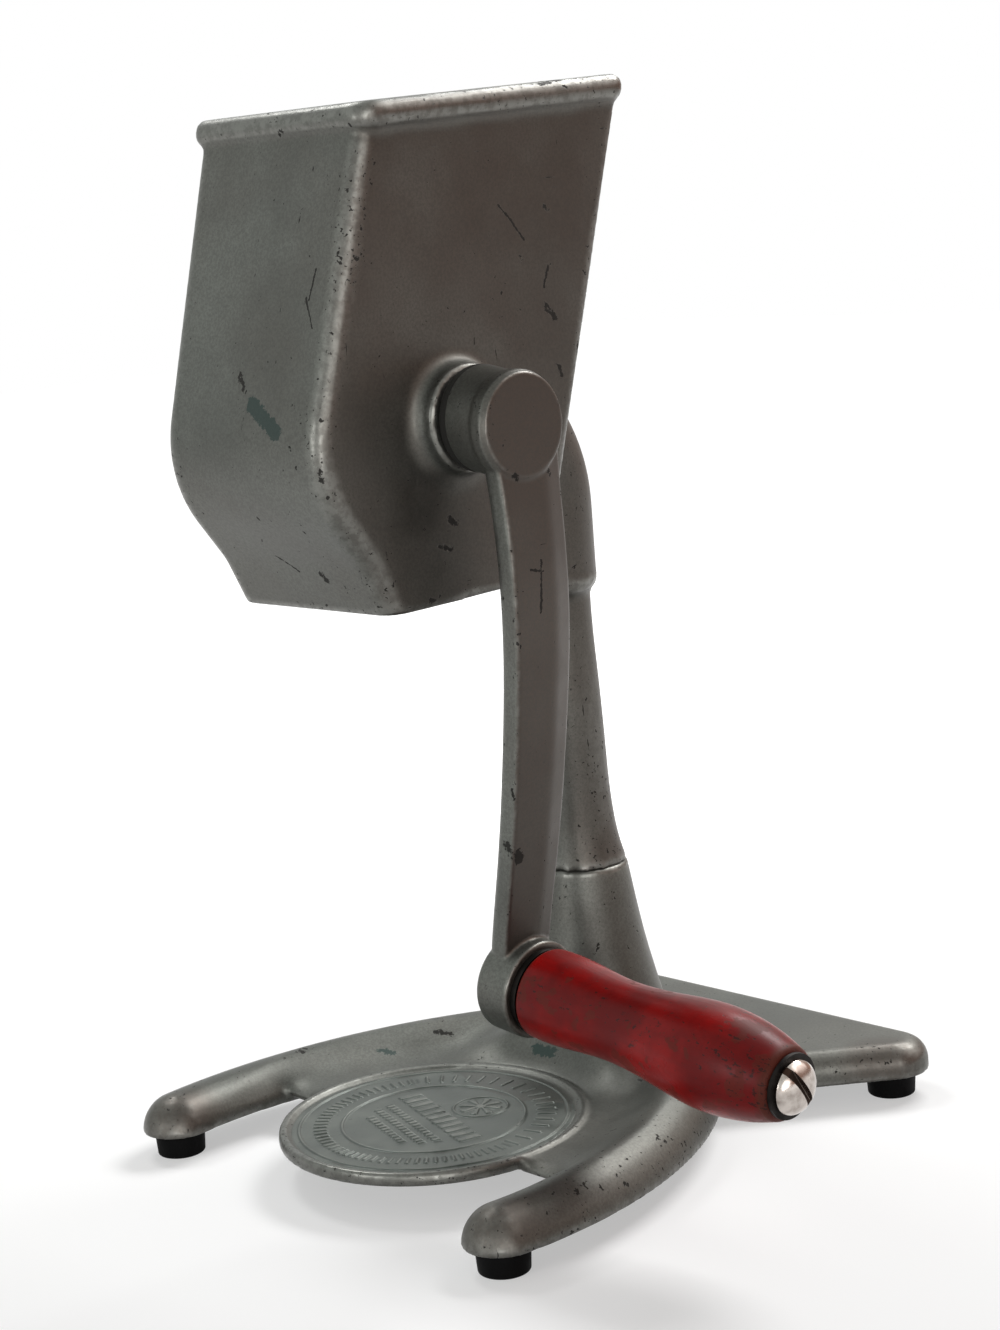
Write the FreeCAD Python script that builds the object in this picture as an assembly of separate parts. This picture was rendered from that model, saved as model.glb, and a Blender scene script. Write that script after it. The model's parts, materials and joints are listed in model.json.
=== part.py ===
import FreeCAD, Part
import math
import os
from FreeCAD import Vector

# Hand crank ice crusher, in millimetres. X points to the crank, Y to the back and Z up.
# The pieces are drawn about the upright axis of the round plate that the glass stands on.
# The frame's origin is on the ground, in the middle of the object's overall width and depth.

# Place of the plate's axis in the frame
plate_x = -30.8
plate_y = -47.35

# Cutting bodies reach this far past the faces they cut
overshoot = 1.0

# Play of pieces that are pressed or slid together
press_gap = 0.01
slide_gap = 0.02

# How far the middle of a quarter arc stands off both of its tangents, as a share of its radius
arc_share = 1.0 - math.sqrt(0.5)

# Feet
foot_height = 8.5
foot_diameter = 17.5
foot_taper = 0.5
foot_edge_round = 0.8
foot_recess_diameter = 10.0
foot_recess_depth = 4.0
foot_washer_diameter = 9.0
foot_washer_thickness = 0.8
foot_screw_diameter = 4.0
foot_screw_head_diameter = 7.6
foot_screw_head_height = 2.4
foot_screw_bite = 9.0
foot_screw_slot = 1.0
foot_pad_margin = 3.0

# Front legs, two half-round bars that bend around the plate
leg_reach = 83.4
leg_bend_radius = 152.0
leg_bend_y = -28.0
leg_width = 25.2
leg_rise = 12.8
leg_rear_width = 32.0
leg_rear_rise = 17.5
front_foot_y = -46.5
leg_rear_y = 92.0
leg_curve_steps = 6

# Tail between the rear feet
rear_foot_x = 83.5
rear_foot_y = 140.5
tail_corner_radius = 13.3
tail_flare_angle = 50.5
tail_thickness = 11.5
tail_edge_round = 7.5
tail_waist_setback = 4.0
tail_waist_round = 6.0
tail_front_setback = 12.0
tail_front_share = 0.6
underside_ceiling = 5.0
underside_margin = 9.0
underside_side_margin = 14.4
underside_front_reach = 10.0
underside_corner = 5.0

# Glass plate
plate_recess_radius = 49.3
plate_radius = 52.6
plate_underside = 12.2
plate_floor = 15.2
plate_rim_top = 17.0
plate_edge_round = 0.8
plate_rim_round = 1.2
plate_rim_draft = 0.4
plate_inner_round = 0.6
rim_step = 1.4
plate_ring_radii = (45.5, 31.0)
plate_ring_width = 0.9
plate_ring_height = 0.5
web_thickness = 4.4
web_front_y = -8.0
web_half_width = 74.0
web_middle_y = 50.0
web_rear_y = 80.0
web_overlap = 1.0
valley_gap = 1.4
valley_slope = 0.25
valley_top = 45.0
valley_round = 6.0

# Pillar
pillar_y = 79.0
seam_height = 87.0
seam_radius = 15.4
flare_height = 100.0
flare_taper = 2.2
cone_foot_radius = 50.0
cone_foot_drop = 3.0
cone_start_radius = 41.0

# Sides of the cone: share of its height above the tail, and how far it stands out past the seam
cone_sides = ((0.07, 17.5), (0.16, 12.3), (0.33, 8.4), (0.63, 4.0))

# Column above the seam
neck_y = 75.0
neck_height = 150.0
neck_radius = 12.6
collar_height = 183.5
collar_radius = 12.2
elbow_radius = 16.0
elbow_shoulder = 7.0
elbow_height = 214.0
elbow_bend = 44.0
elbow_setback = 2.0
elbow_sweep = 62.0
elbow_swell = 0.62
rib_half_thickness = 9.0
rib_top_above_elbow = 30.0
rib_overlap = 2.0

# Joint between pillar and base
spigot_radius = 9.8
spigot_length = 5.0
spigot_clearance = 0.1
spigot_end_gap = 0.3
bolt_diameter = 10.0
bolt_clearance = 0.3
bolt_head_width = 17.0
bolt_head_height = 6.4
bolt_bite = 26.0
bolt_seat_height = 27.0
bolt_pocket_diameter = 26.0
washer_diameter = 22.0
washer_thickness = 2.0
lock_washer_diameter = 17.5
lock_washer_thickness = 2.2
lock_washer_split = 1.2
pin_diameter = 3.0
pin_length = 12.0
thread_clearance = 0.05

# Hopper
hopper_wall = 4.0
hopper_top_half_width = 40.9
hopper_bottom_half_width = 38.0
hopper_bottom_height = 195.0
hopper_bottom_tilt = 1.6
hopper_lean = 16.2
hopper_front_nose_y = -59.3
hopper_front_nose_z = 239.4
hopper_nose_radius = 40.0
hopper_knee_y = -38.4
hopper_knee_z = 210.3
hopper_knee_radius = 24.0
hopper_lip_y = -31.5
hopper_rear_y = 51.5
hopper_rear_z = 250.0
hopper_front_corner = 6.0
hopper_rear_corner = 3.0
inner_corner_share = 0.5
hopper_spare = 20.0
rim_front_height = 341.2
rim_tilt = 2.9
bead_height = 8.6
bead_proud = 3.0
bead_round = 3.6
bead_corner_radius = 8.5

# Shaft, bearings and crushing rotor
shaft_y = 0.3
shaft_z = 252.7
shaft_diameter = 12.7
running_clearance = 0.06
boss_proud = 7.6
boss_radius = 17.0
boss_cove = 4.6
boss_edge_round = 1.0
bushing_wall = 3.2
bushing_flange_radius = 11.6
bushing_flange_thickness = 1.1
thrust_washer_radius = 12.2
thrust_washer_thickness = 0.8
end_play = 0.1
shaft_tail = 6.0
ring_thickness = 1.6
ring_radius = 9.6
ring_groove_depth = 0.9
drum_radius = 25.0
drum_side_gap = 1.8
tooth_tip_radius = 41.5
tooth_thickness = 5.0
tooth_root_width = 15.0
tooth_tip_width = 5.0
tooth_pitch = 13.0
tooth_rows = 6
tooth_sink = 3.0
first_row_angle = 30.0
drum_pin_diameter = 5.0
drum_pin_recess = 1.5

# Breaker comb on the hopper's rear wall
comb_thickness = 5.0
comb_bar_height = 22.0
comb_bar_z = 279.0
comb_finger_gap = 2.6
comb_side_gap = 1.6
comb_edge_round = 1.0
comb_finger_depth = 10.0
comb_finger_side_gap = 1.5
comb_screw_diameter = 5.0
comb_screw_head_diameter = 9.4
comb_screw_head_height = 3.2
comb_screw_slot = 1.2
comb_screw_x = 25.0
comb_pad_radius = 8.0
comb_pad_proud = 1.6

# Crank arm
hub_length = 20.8
hub_radius = 16.6
hub_edge_round = 0.8
hub_foot_length = 3.0
hub_head_radius = 17.0
hub_head_length = 5.6
hub_head_drop = 1.9
hub_disc_radius = 16.3
hub_disc_proud = 1.2
hub_disc_round = 0.5
shaft_bite = 14.0
arm_top_width = 28.0
arm_bottom_width = 23.2
arm_top_shift = 2.4
arm_bottom_shift = 1.2
arm_neck_flare = 3.6
arm_neck_share = 0.16
arm_thickness = 9.0
arm_front_round = 1.2
arm_inner_round = 4.3
arm_rear_round = 2.2
arm_bevel_width = 9.0
arm_bevel_drop = 3.0
arm_bevel_round = 14.0
arm_end_inset = 5.6
arm_bow = (
    (0.0, 0.0), (0.07, 2.1), (0.16, 4.9), (0.3, 7.9), (0.45, 8.2),
    (0.6, 6.7), (0.75, 4.1), (0.9, 0.6), (1.0, 0.0),
)
set_screw_diameter = 6.0
set_screw_clearance = 0.05
set_screw_share = 0.4
set_screw_recess = 1.0
set_screw_socket_diameter = 3.0
set_screw_socket_depth = 2.4

# Handle at the lower end of the arm
handle_face_x = 50.7
handle_y = 9.0
handle_z = 66.6
handle_droop = 5.8
lower_boss_radius = 16.2
lower_boss_length = 14.5
lower_boss_round = 2.5
lower_boss_edge = 0.6
collar_washer_radius = 14.0
collar_washer_thickness = 2.2
collar_gap = 0.3
grip_length = 101.5
grip_base_radius = 14.8
grip_base_round = 2.0
grip_waist_radius = 13.2
grip_waist_at = 0.30
grip_belly_radius = 16.5
grip_belly_at = 0.70
grip_neck_at = 0.12
grip_neck_draft = 0.1
grip_taper_at = 0.88
grip_taper_fullness = 0.7
grip_end_radius = 11.8
grip_end_round = 2.0
grip_bore_clearance = 0.08
handle_bolt_diameter = 8.0
bolt_head_radius = 8.5
bolt_head_rise = 5.2
bolt_slot_width = 2.6
bolt_slot_depth = 2.8
bolt_slot_turn = 35.0
bolt_rim_height = 0.8
bolt_rim_draft = 0.3
ferrule_radius = 10.2
ferrule_thickness = 1.2

axis_x = Vector(1, 0, 0)
axis_y = Vector(0, 1, 0)
axis_z = Vector(0, 0, 1)


def cylinder(radius, length, base, direction):
    """A round bar from `base`, along `direction`."""
    return Part.makeCylinder(radius, length, base, direction)


def ring(outer, inner, length, base, direction):
    """A plain washer or tube."""
    step = Vector(direction).normalize() * overshoot
    bore = cylinder(inner, length + 2 * overshoot, base - step, direction)
    return cylinder(outer, length, base, direction).cut(bore)


def fuse(shapes):
    """All shapes joined into one, with the seams between their faces removed."""
    joined = shapes[0]
    for shape in shapes[1:]:
        joined = joined.fuse(shape)
    return joined.removeSplitter()


def corner_arc(before, corner, after, radius):
    """Ends and middle of the arc that rounds one corner of an outline."""
    to_before = (before - corner).normalize()
    to_after = (after - corner).normalize()
    half = 0.5 * to_before.getAngle(to_after)
    reach = radius / math.tan(half)
    bisector = (to_before + to_after).normalize()
    centre = corner + bisector * (radius / math.sin(half))
    middle = centre - bisector * radius
    return corner + to_before * reach, middle, corner + to_after * reach


def outline(corners, place):
    """Closed wire through flat corners (u, v, radius), with a tangent arc at each radius."""
    points = [place(u, v) for u, v, radius in corners]
    count = len(points)
    edges = []
    starts = []
    ends = []
    arcs = []
    for i in range(count):
        radius = corners[i][2]
        if radius > 0:
            start, middle, end = corner_arc(points[i - 1], points[i], points[(i + 1) % count], radius)
            arcs.append(Part.Arc(start, middle, end).toShape())
        else:
            start = end = points[i]
            arcs.append(None)
        starts.append(start)
        ends.append(end)
    for i in range(count):
        if arcs[i]:
            edges.append(arcs[i])
        following = starts[(i + 1) % count]
        if ends[i].distanceToPoint(following) > 1e-6:
            edges.append(Part.LineSegment(ends[i], following).toShape())
    return Part.Wire(edges)


def prism(corners, place, sweep):
    """A flat outline carried along the vector `sweep`."""
    return Part.Face(outline(corners, place)).extrude(sweep)


def side_view(x):
    """Puts an outline drawn in Y and Z on the plane at `x`."""
    return lambda y, z: Vector(x, y, z)


def plan_view(z):
    """Puts an outline drawn in X and Y at the height `z`."""
    return lambda x, y: Vector(x, y, z)


def round_corner(along, radius, size):
    """Middle and end of a profile's quarter arc from a flat at `along` onto a side at `radius`."""
    middle = (along + arc_share * size, radius - arc_share * size, "arc")
    return [middle, (along + size, radius)]


def inset(corners, distances):
    """An outline drawn in by one distance for each side, the side that starts at that corner."""
    count = len(corners)
    lines = []
    for i in range(count):
        u0, v0 = corners[i][:2]
        u1, v1 = corners[(i + 1) % count][:2]
        length = math.hypot(u1 - u0, v1 - v0)
        du = (u1 - u0) / length
        dv = (v1 - v0) / length
        lines.append((u0 - dv * distances[i], v0 + du * distances[i], du, dv))
    result = []
    for i in range(count):
        ua, va, dua, dva = lines[i - 1]
        ub, vb, dub, dvb = lines[i]
        cross = dua * dvb - dva * dub
        t = ((ub - ua) * dvb - (vb - va) * dub) / cross
        radius = corners[i][2]
        if radius > 0:
            drawn = min(distances[i - 1], distances[i])
            radius = radius - drawn if cross > 0 else radius + drawn
        result.append((ua + dua * t, va + dva * t, max(radius, 0.0)))
    return result


def revolve(points, base, direction, across):
    """A round body from a profile of (along, radius) points about an axis; see `profile_edges`."""
    axis = Vector(direction).normalize()
    side = Vector(across).normalize()
    edges = profile_edges(points, lambda a, r: base + axis * a + side * r)
    return Part.Face(Part.Wire(edges)).revolve(base, axis, 360)


def profile_edges(points, place):
    """Edges through (a, r) points; a point marked "arc" is the middle of an arc, "curve" is smooth."""
    edges = []
    here = place(points[0][0], points[0][1])
    index = 1
    total = len(points)
    while index < total:
        entry = points[index]
        if len(entry) == 3 and entry[2] == "arc":
            finish = points[index + 1]
            target = place(finish[0], finish[1])
            edges.append(Part.Arc(here, place(entry[0], entry[1]), target).toShape())
            index += 2
        elif len(entry) == 3 and entry[2] == "curve":
            through = [here]
            while index < total and len(points[index]) == 3 and points[index][2] == "curve":
                through.append(place(points[index][0], points[index][1]))
                index += 1
            target = through[-1]
            spline = Part.BSplineCurve()
            spline.interpolate(through)
            edges.append(spline.toShape())
        else:
            target = place(entry[0], entry[1])
            edges.append(Part.LineSegment(here, target).toShape())
            index += 1
        here = target
    start = place(points[0][0], points[0][1])
    if here.distanceToPoint(start) > 1e-6:
        edges.append(Part.LineSegment(here, start).toShape())
    return edges


def hexagon_bar(width, height, base):
    """A hexagonal head, flats `width` apart, standing up from `base`."""
    reach = width / math.sqrt(3.0)
    corners = []
    for step in range(6):
        turn = math.radians(60 * step)
        corners.append((base.x + reach * math.cos(turn), base.y + reach * math.sin(turn), 0))
    return prism(corners, plan_view(base.z), axis_z * height)


# Places that several pieces share
leg_centre_x = leg_reach - leg_bend_radius
front_foot_x = leg_centre_x + math.sqrt(leg_bend_radius ** 2 - (front_foot_y - leg_bend_y) ** 2)
tail_top = foot_height + tail_thickness
rear_edge_y = rear_foot_y + tail_corner_radius
shaft_radius = 0.5 * shaft_diameter
shaft_centre = Vector(0, shaft_y, shaft_z)
foot_centres = {
    "foot_front_left": Vector(-front_foot_x, front_foot_y, 0),
    "foot_front_right": Vector(front_foot_x, front_foot_y, 0),
    "foot_rear_left": Vector(-rear_foot_x, rear_foot_y, 0),
    "foot_rear_right": Vector(rear_foot_x, rear_foot_y, 0),
}


def leg_x(y):
    """Distance of a leg's centre line from the middle plane, at `y`."""
    return leg_centre_x + math.sqrt(leg_bend_radius ** 2 - (y - leg_bend_y) ** 2)


def tail_waist():
    """Point where the tail's flaring side reaches the back of the legs."""
    turn = math.radians(tail_flare_angle)
    side_x = rear_foot_x + tail_corner_radius * math.sin(turn)
    side_y = rear_foot_y - tail_corner_radius * math.cos(turn)
    waist_y = pillar_y + tail_waist_setback
    return side_x - (side_y - waist_y) / math.tan(turn), waist_y


# Hopper walls, as straight lines in Y and Z that the outline and its fittings share
hopper_run = math.tan(math.radians(hopper_lean))
rim_rise = math.tan(math.radians(rim_tilt))
bottom_rise = math.tan(math.radians(hopper_bottom_tilt))


def front_wall_y(z):
    """Outer face of the front wall above the nose."""
    return hopper_front_nose_y + (z - hopper_front_nose_z) * hopper_run


def rear_wall_y(z):
    """Outer face of the rear wall."""
    return hopper_rear_y + (z - hopper_rear_z) * hopper_run


def half_width(z):
    """Outer half width of the hopper at a height."""
    share = (z - hopper_bottom_height) / (rim_front_height - hopper_bottom_height)
    return hopper_bottom_half_width + share * (hopper_top_half_width - hopper_bottom_half_width)


def meet(y0, z0, rise, wall_y):
    """Corner where a nearly level line through (y0, z0) meets a wall."""
    z = z0
    for step in range(30):
        z = z0 + (wall_y(z) - y0) * rise
    return wall_y(z), z


def hopper_corners():
    """Outer side outline of the hopper in Y and Z, from the front lip, anticlockwise."""
    front_top_y = front_wall_y(rim_front_height)
    rear_bottom = meet(hopper_lip_y, hopper_bottom_height, bottom_rise, rear_wall_y)
    rear_top = meet(front_top_y, rim_front_height, rim_rise, rear_wall_y)
    return [
        (hopper_lip_y, hopper_bottom_height, 0),
        (rear_bottom[0], rear_bottom[1], 0),
        (rear_top[0], rear_top[1], 0),
        (front_top_y, rim_front_height, 0),
        (hopper_front_nose_y, hopper_front_nose_z, hopper_nose_radius),
        (hopper_knee_y, hopper_knee_z, hopper_knee_radius),
    ]


def hopper_solid(margin, overrun):
    """The hopper's outer form, drawn in by `margin` and carried past top and bottom by `overrun`."""
    side = inset(hopper_corners(), [-overrun, margin, -overrun, margin, margin, margin])
    reach = hopper_top_half_width + hopper_spare
    slab = prism(side, side_view(-reach), axis_x * (2 * reach))
    low = hopper_bottom_height - overrun - hopper_spare
    high = rim_front_height + overrun + hopper_spare
    low_half = half_width(low) - margin
    high_half = half_width(high) - margin
    front = [(-low_half, low, 0), (low_half, low, 0), (high_half, high, 0), (-high_half, high, 0)]
    deep = rim_front_height
    wedge = prism(front, lambda x, z: Vector(x, -deep, z), axis_y * (2 * deep))
    body = slab.common(wedge)
    tighter = inner_corner_share * margin
    body = body.makeFillet(hopper_front_corner - tighter, upright_edges(body)[0])
    return body.makeFillet(hopper_rear_corner - tighter, upright_edges(body)[1])


def upright_edges(body):
    """Edges where the side walls meet the front wall, and those where they meet the rear wall."""
    front_edges = []
    rear_edges = []
    box = body.BoundBox
    for edge in body.Edges:
        middle = edge.valueAt(0.5 * (edge.FirstParameter + edge.LastParameter))
        start = edge.Vertexes[0].Point
        finish = edge.Vertexes[-1].Point
        rising = abs(start.z - finish.z) > 0.5 * abs(start.y - finish.y)
        sideways = abs(start.x - finish.x) > 0.5 * box.XLength
        if rising and not sideways and abs(middle.x) > 0.3 * box.XLength:
            if abs(middle.y - rear_wall_y(middle.z)) < 2 * hopper_wall:
                rear_edges.append(edge)
            else:
                front_edges.append(edge)
    return front_edges, rear_edges


def rim_bead():
    """The rounded band around the mouth, on a plane that rises to the back."""
    front_y = front_wall_y(rim_front_height)
    rear_y, rear_z = meet(front_y, rim_front_height, rim_rise, rear_wall_y)
    length = math.hypot(rear_y - front_y, rear_z - rim_front_height)
    turn = math.radians(rim_tilt)
    along = Vector(0, math.cos(turn), math.sin(turn))
    normal = Vector(0, -math.sin(turn), math.cos(turn))
    shear = Vector(0, hopper_run * bead_height, bead_height)
    corner = Vector(0, front_y, rim_front_height)
    half = hopper_top_half_width + bead_proud
    flat = [
        (-half, -bead_proud, bead_corner_radius),
        (half, -bead_proud, bead_corner_radius),
        (half, length + bead_proud, bead_corner_radius),
        (-half, length + bead_proud, bead_corner_radius),
    ]
    slab = prism(flat, lambda x, v: corner + axis_x * x + along * v, shear)
    edges = []
    for edge in slab.Edges:
        height = (edge.CenterOfMass - corner).dot(normal)
        level = abs(height) < 0.5 or abs(height - shear.dot(normal)) < 0.5
        if level:
            edges.append(edge)
    return slab.makeFillet(bead_round, edges)


def bearing_boss(side):
    """Round boss with a hollow fillet around the shaft, on one side wall."""
    wall_x = half_width(shaft_z) - 0.5 * hopper_wall
    face = half_width(shaft_z) + boss_proud
    cove_x = half_width(shaft_z)
    edge_step = arc_share * boss_edge_round
    points = [
        (wall_x, 0),
        (wall_x, boss_radius + boss_cove),
        (cove_x, boss_radius + boss_cove),
        (cove_x + arc_share * boss_cove, boss_radius + arc_share * boss_cove, "arc"),
        (cove_x + boss_cove, boss_radius),
        (face - boss_edge_round, boss_radius),
        (face - edge_step, boss_radius - edge_step, "arc"),
        (face, boss_radius - boss_edge_round),
        (face, 0),
    ]
    return revolve(points, shaft_centre, axis_x * side, axis_z)


def comb_seat():
    """Point on the outer rear wall behind the comb's middle, and the direction into the hopper."""
    turn = math.radians(hopper_lean)
    inward = Vector(0, -math.cos(turn), math.sin(turn))
    return Vector(0, rear_wall_y(comb_bar_z), comb_bar_z), inward


def comb_screw_holes(radius):
    """Bars along the two comb screws, through the rear wall."""
    outer, inward = comb_seat()
    reach = comb_screw_head_diameter
    bars = []
    for side in (-1, 1):
        start = outer + axis_x * (side * comb_screw_x) - inward * reach
        bars.append(cylinder(radius, reach + hopper_wall + comb_thickness, start, inward))
    return bars


def column_y(z):
    """Middle of the column at a height: it curves forward from the seam and is upright at the collar."""
    left = (collar_height - z) / (collar_height - seam_height)
    return neck_y + (pillar_y - neck_y) * left * left


def pillar():
    """Column from the seam to the elbow, with the elbow that carries the hopper."""
    stations = [
        (seam_height, seam_radius),
        (flare_height, seam_radius - flare_taper),
        (0.7 * flare_height + 0.3 * neck_height, neck_radius),
        (neck_height, neck_radius),
        (collar_height + 0.5 * elbow_shoulder, collar_radius),
    ]
    wires = []
    for z, radius in stations:
        wires.append(Part.Wire(Part.makeCircle(radius, Vector(0, column_y(z), z), axis_z)))
    column = Part.makeLoft(wires, True, False)
    elbow_y = neck_y - elbow_setback
    swell = elbow_swell * (elbow_radius - collar_radius)
    shoulder = [
        (collar_height, 0),
        (collar_height, collar_radius - 0.5 * elbow_setback),
        (collar_height + 0.25 * elbow_shoulder, collar_radius + swell, "arc"),
        (collar_height + elbow_shoulder, elbow_radius),
        (elbow_height, elbow_radius),
        (elbow_height, 0),
    ]
    upright = revolve(shoulder, Vector(0, elbow_y, 0), axis_z, axis_x)
    circle = Part.Face(Part.Wire(Part.makeCircle(elbow_radius, Vector(0, elbow_y, elbow_height), axis_z)))
    bend_centre = Vector(0, elbow_y - elbow_bend, elbow_height)
    bend = circle.revolve(bend_centre, axis_x, elbow_sweep)
    low_rear = meet(hopper_lip_y, hopper_bottom_height, bottom_rise, rear_wall_y)
    rib_top = elbow_height + rib_top_above_elbow
    rib = [
        (low_rear[0] - rib_overlap, low_rear[1] + 2 * rib_overlap, 0),
        (elbow_y - 0.5 * elbow_radius, collar_height + elbow_shoulder, 0),
        (elbow_y, elbow_height, 0),
        (rear_wall_y(rib_top), rib_top, 0),
    ]
    web = prism(rib, side_view(-rib_half_thickness), axis_x * (2 * rib_half_thickness))
    return [column, upright, bend, web]


def hopper_casting():
    """Pillar and hopper in one casting, open at the mouth and at the outlet."""
    body = hopper_solid(0.0, 0.0)
    outer, inward = comb_seat()
    shapes = [body, rim_bead(), bearing_boss(1), bearing_boss(-1)]
    for side in (-1, 1):
        start = outer + axis_x * (side * comb_screw_x) - inward * comb_pad_proud
        shapes.append(cylinder(comb_pad_radius, comb_pad_proud + overshoot, start, inward))
    shapes += pillar()
    spigot_end = Vector(0, pillar_y, seam_height - spigot_length)
    shapes.append(cylinder(spigot_radius, spigot_length + overshoot, spigot_end, axis_z))
    casting = fuse(shapes)
    casting = casting.cut(hopper_solid(hopper_wall, hopper_spare))
    bore = shaft_radius + bushing_wall
    half_length = half_width(shaft_z) + boss_proud + overshoot
    casting = casting.cut(cylinder(bore, 2 * half_length, shaft_centre - axis_x * half_length, axis_x))
    hole_depth = bolt_bite + spigot_length + 3 * overshoot
    hole_start = spigot_end - axis_z * overshoot
    hole = cylinder(0.5 * bolt_diameter + thread_clearance, hole_depth, hole_start, axis_z)
    casting = casting.cut(hole)
    casting = casting.cut(pin_bar(thread_clearance))
    for bar in comb_screw_holes(0.5 * comb_screw_diameter + thread_clearance):
        casting = casting.cut(bar)
    return casting


def pin_bar(clearance):
    """Dowel across the seam, between the spigot and the column's skin."""
    centre_y = pillar_y + 0.5 * (spigot_radius + seam_radius)
    base = Vector(0, centre_y, seam_height - 0.5 * pin_length - clearance)
    return cylinder(0.5 * pin_diameter + clearance, pin_length + 2 * clearance, base, axis_z)


def quarter_round(middle, out, width, rise):
    """Quarter of a half-round section, from its outer foot up to its crest."""
    points = []
    for step in range(leg_curve_steps + 1):
        angle = 0.5 * math.pi * step / leg_curve_steps
        points.append(middle + out * (0.5 * width * math.cos(angle)) + axis_z * (rise * math.sin(angle)))
    spline = Part.BSplineCurve()
    spline.interpolate(Points=points, InitialTangent=axis_z, FinalTangent=out * -1)
    return spline.toShape()


def leg_frame(y):
    """Point of a right-hand leg's centre line on its flat underside, and the direction outwards."""
    turn = math.asin((y - leg_bend_y) / leg_bend_radius)
    return Vector(leg_x(y), y, foot_height), Vector(math.cos(turn), math.sin(turn), 0)


def leg_section(y, width, rise):
    """Half-round section of a right-hand leg, square to its centre line."""
    middle, out = leg_frame(y)
    outer_half = quarter_round(middle, out, width, rise)
    inner_half = quarter_round(middle, out * -1, width, rise)
    base = Part.LineSegment(middle - out * (0.5 * width), middle + out * (0.5 * width)).toShape()
    return Part.Wire([outer_half, inner_half, base])


def leg():
    """One right-hand front leg: a bar that swells towards the pillar, with a domed tip."""
    wires = []
    for share in (0.0, 0.25, 0.5, 0.75, 1.0):
        y = front_foot_y + share * (leg_rear_y - front_foot_y)
        swell = share * share
        width = leg_width + swell * (leg_rear_width - leg_width)
        rise = leg_rise + swell * (leg_rear_rise - leg_rise)
        wires.append(leg_section(y, width, rise))
    bar = Part.makeLoft(wires, True, False)
    middle, out = leg_frame(front_foot_y)
    foot = middle + out * (0.5 * leg_width)
    crest = middle + axis_z * leg_rise
    profile = [
        quarter_round(middle, out, leg_width, leg_rise),
        Part.LineSegment(crest, middle).toShape(),
        Part.LineSegment(middle, foot).toShape(),
    ]
    tip = Part.Face(Part.Wire(profile)).revolve(middle, axis_z, -180)
    return bar.fuse(tip).removeSplitter()


def tail():
    """Flat slab between the pillar and the rear feet, with a rounded upper edge."""
    waist_x, waist_y = tail_waist()
    turn = math.radians(tail_flare_angle)
    corner_x = waist_x + (rear_edge_y - waist_y) / math.tan(turn)
    front_x = tail_front_share * waist_x
    front_y = pillar_y - tail_front_setback
    plan = [
        (-corner_x, rear_edge_y, tail_corner_radius),
        (-waist_x, waist_y, tail_waist_round),
        (-front_x, front_y, 0),
        (front_x, front_y, 0),
        (waist_x, waist_y, tail_waist_round),
        (corner_x, rear_edge_y, tail_corner_radius),
    ]
    slab = prism(plan, plan_view(foot_height), axis_z * tail_thickness)
    edges = []
    for edge in slab.Edges:
        middle = edge.CenterOfMass
        if abs(middle.z - tail_top) < 0.01 and middle.y > waist_y + 1.0:
            edges.append(edge)
    return slab.makeFillet(tail_edge_round, edges)


def pillar_foot():
    """Cone below the seam, spreading into the base."""
    cone = seam_height - tail_top
    points = [
        (foot_height, 0),
        (foot_height, cone_foot_radius),
        (tail_top - cone_foot_drop, cone_foot_radius),
        (tail_top + 0.01 * cone, cone_start_radius, "curve"),
    ]
    for share, spread in cone_sides:
        points.append((tail_top + share * cone, seam_radius + spread, "curve"))
    points += [(seam_height, seam_radius, "curve"), (seam_height, 0)]
    return revolve(points, Vector(0, pillar_y, 0), axis_z, axis_x)


def valley():
    """Space cleared behind the plate, a round pocket with nearly upright sides."""
    floor = plate_rim_top - rim_step
    low = plate_radius + valley_gap
    points = [
        (floor, 0),
        (floor, low),
        (floor + arc_share * valley_round, low + (1.0 - arc_share) * valley_round, "arc"),
        (floor + valley_round, low + valley_round),
        (valley_top, low + valley_round + (valley_top - floor - valley_round) * valley_slope),
        (valley_top, 0),
    ]
    return revolve(points, Vector(0, 0, 0), axis_z, axis_x)


def glass_plate():
    """Round plate with a raised rim and two fine rings on its floor."""
    crest = 0.5 * (plate_recess_radius + plate_radius) - plate_rim_draft
    points = [
        (plate_underside, 0),
        (plate_underside, plate_radius - plate_edge_round),
        (plate_underside + plate_edge_round, plate_radius),
        (plate_rim_top - plate_rim_round, plate_radius - plate_rim_draft),
        (plate_rim_top, crest, "arc"),
        (plate_floor + plate_inner_round, plate_recess_radius),
        (plate_floor, plate_recess_radius - plate_inner_round),
        (plate_floor, 0),
    ]
    shapes = [revolve(points, Vector(0, 0, 0), axis_z, axis_x)]
    for radius in plate_ring_radii:
        outer = radius + 0.5 * plate_ring_width
        low = Vector(0, 0, plate_floor - plate_ring_height)
        shapes.append(ring(outer, outer - plate_ring_width, 2 * plate_ring_height, low, axis_z))
    return shapes


def plate_web():
    """Low web that joins the plate to both legs."""
    low = plate_rim_top - rim_step - web_thickness
    plan = [
        (-web_half_width, web_front_y, 0),
        (web_half_width, web_front_y, 0),
        (leg_x(web_middle_y), web_middle_y, 0),
        (leg_x(web_rear_y), web_rear_y, 0),
        (-leg_x(web_rear_y), web_rear_y, 0),
        (-leg_x(web_middle_y), web_middle_y, 0),
    ]
    web = prism(plan, plan_view(low), axis_z * web_thickness)
    inner = plate_radius - web_overlap
    plate_space = cylinder(inner, web_thickness + 2 * overshoot, Vector(0, 0, low - overshoot), axis_z)
    return web.cut(plate_space)


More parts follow.
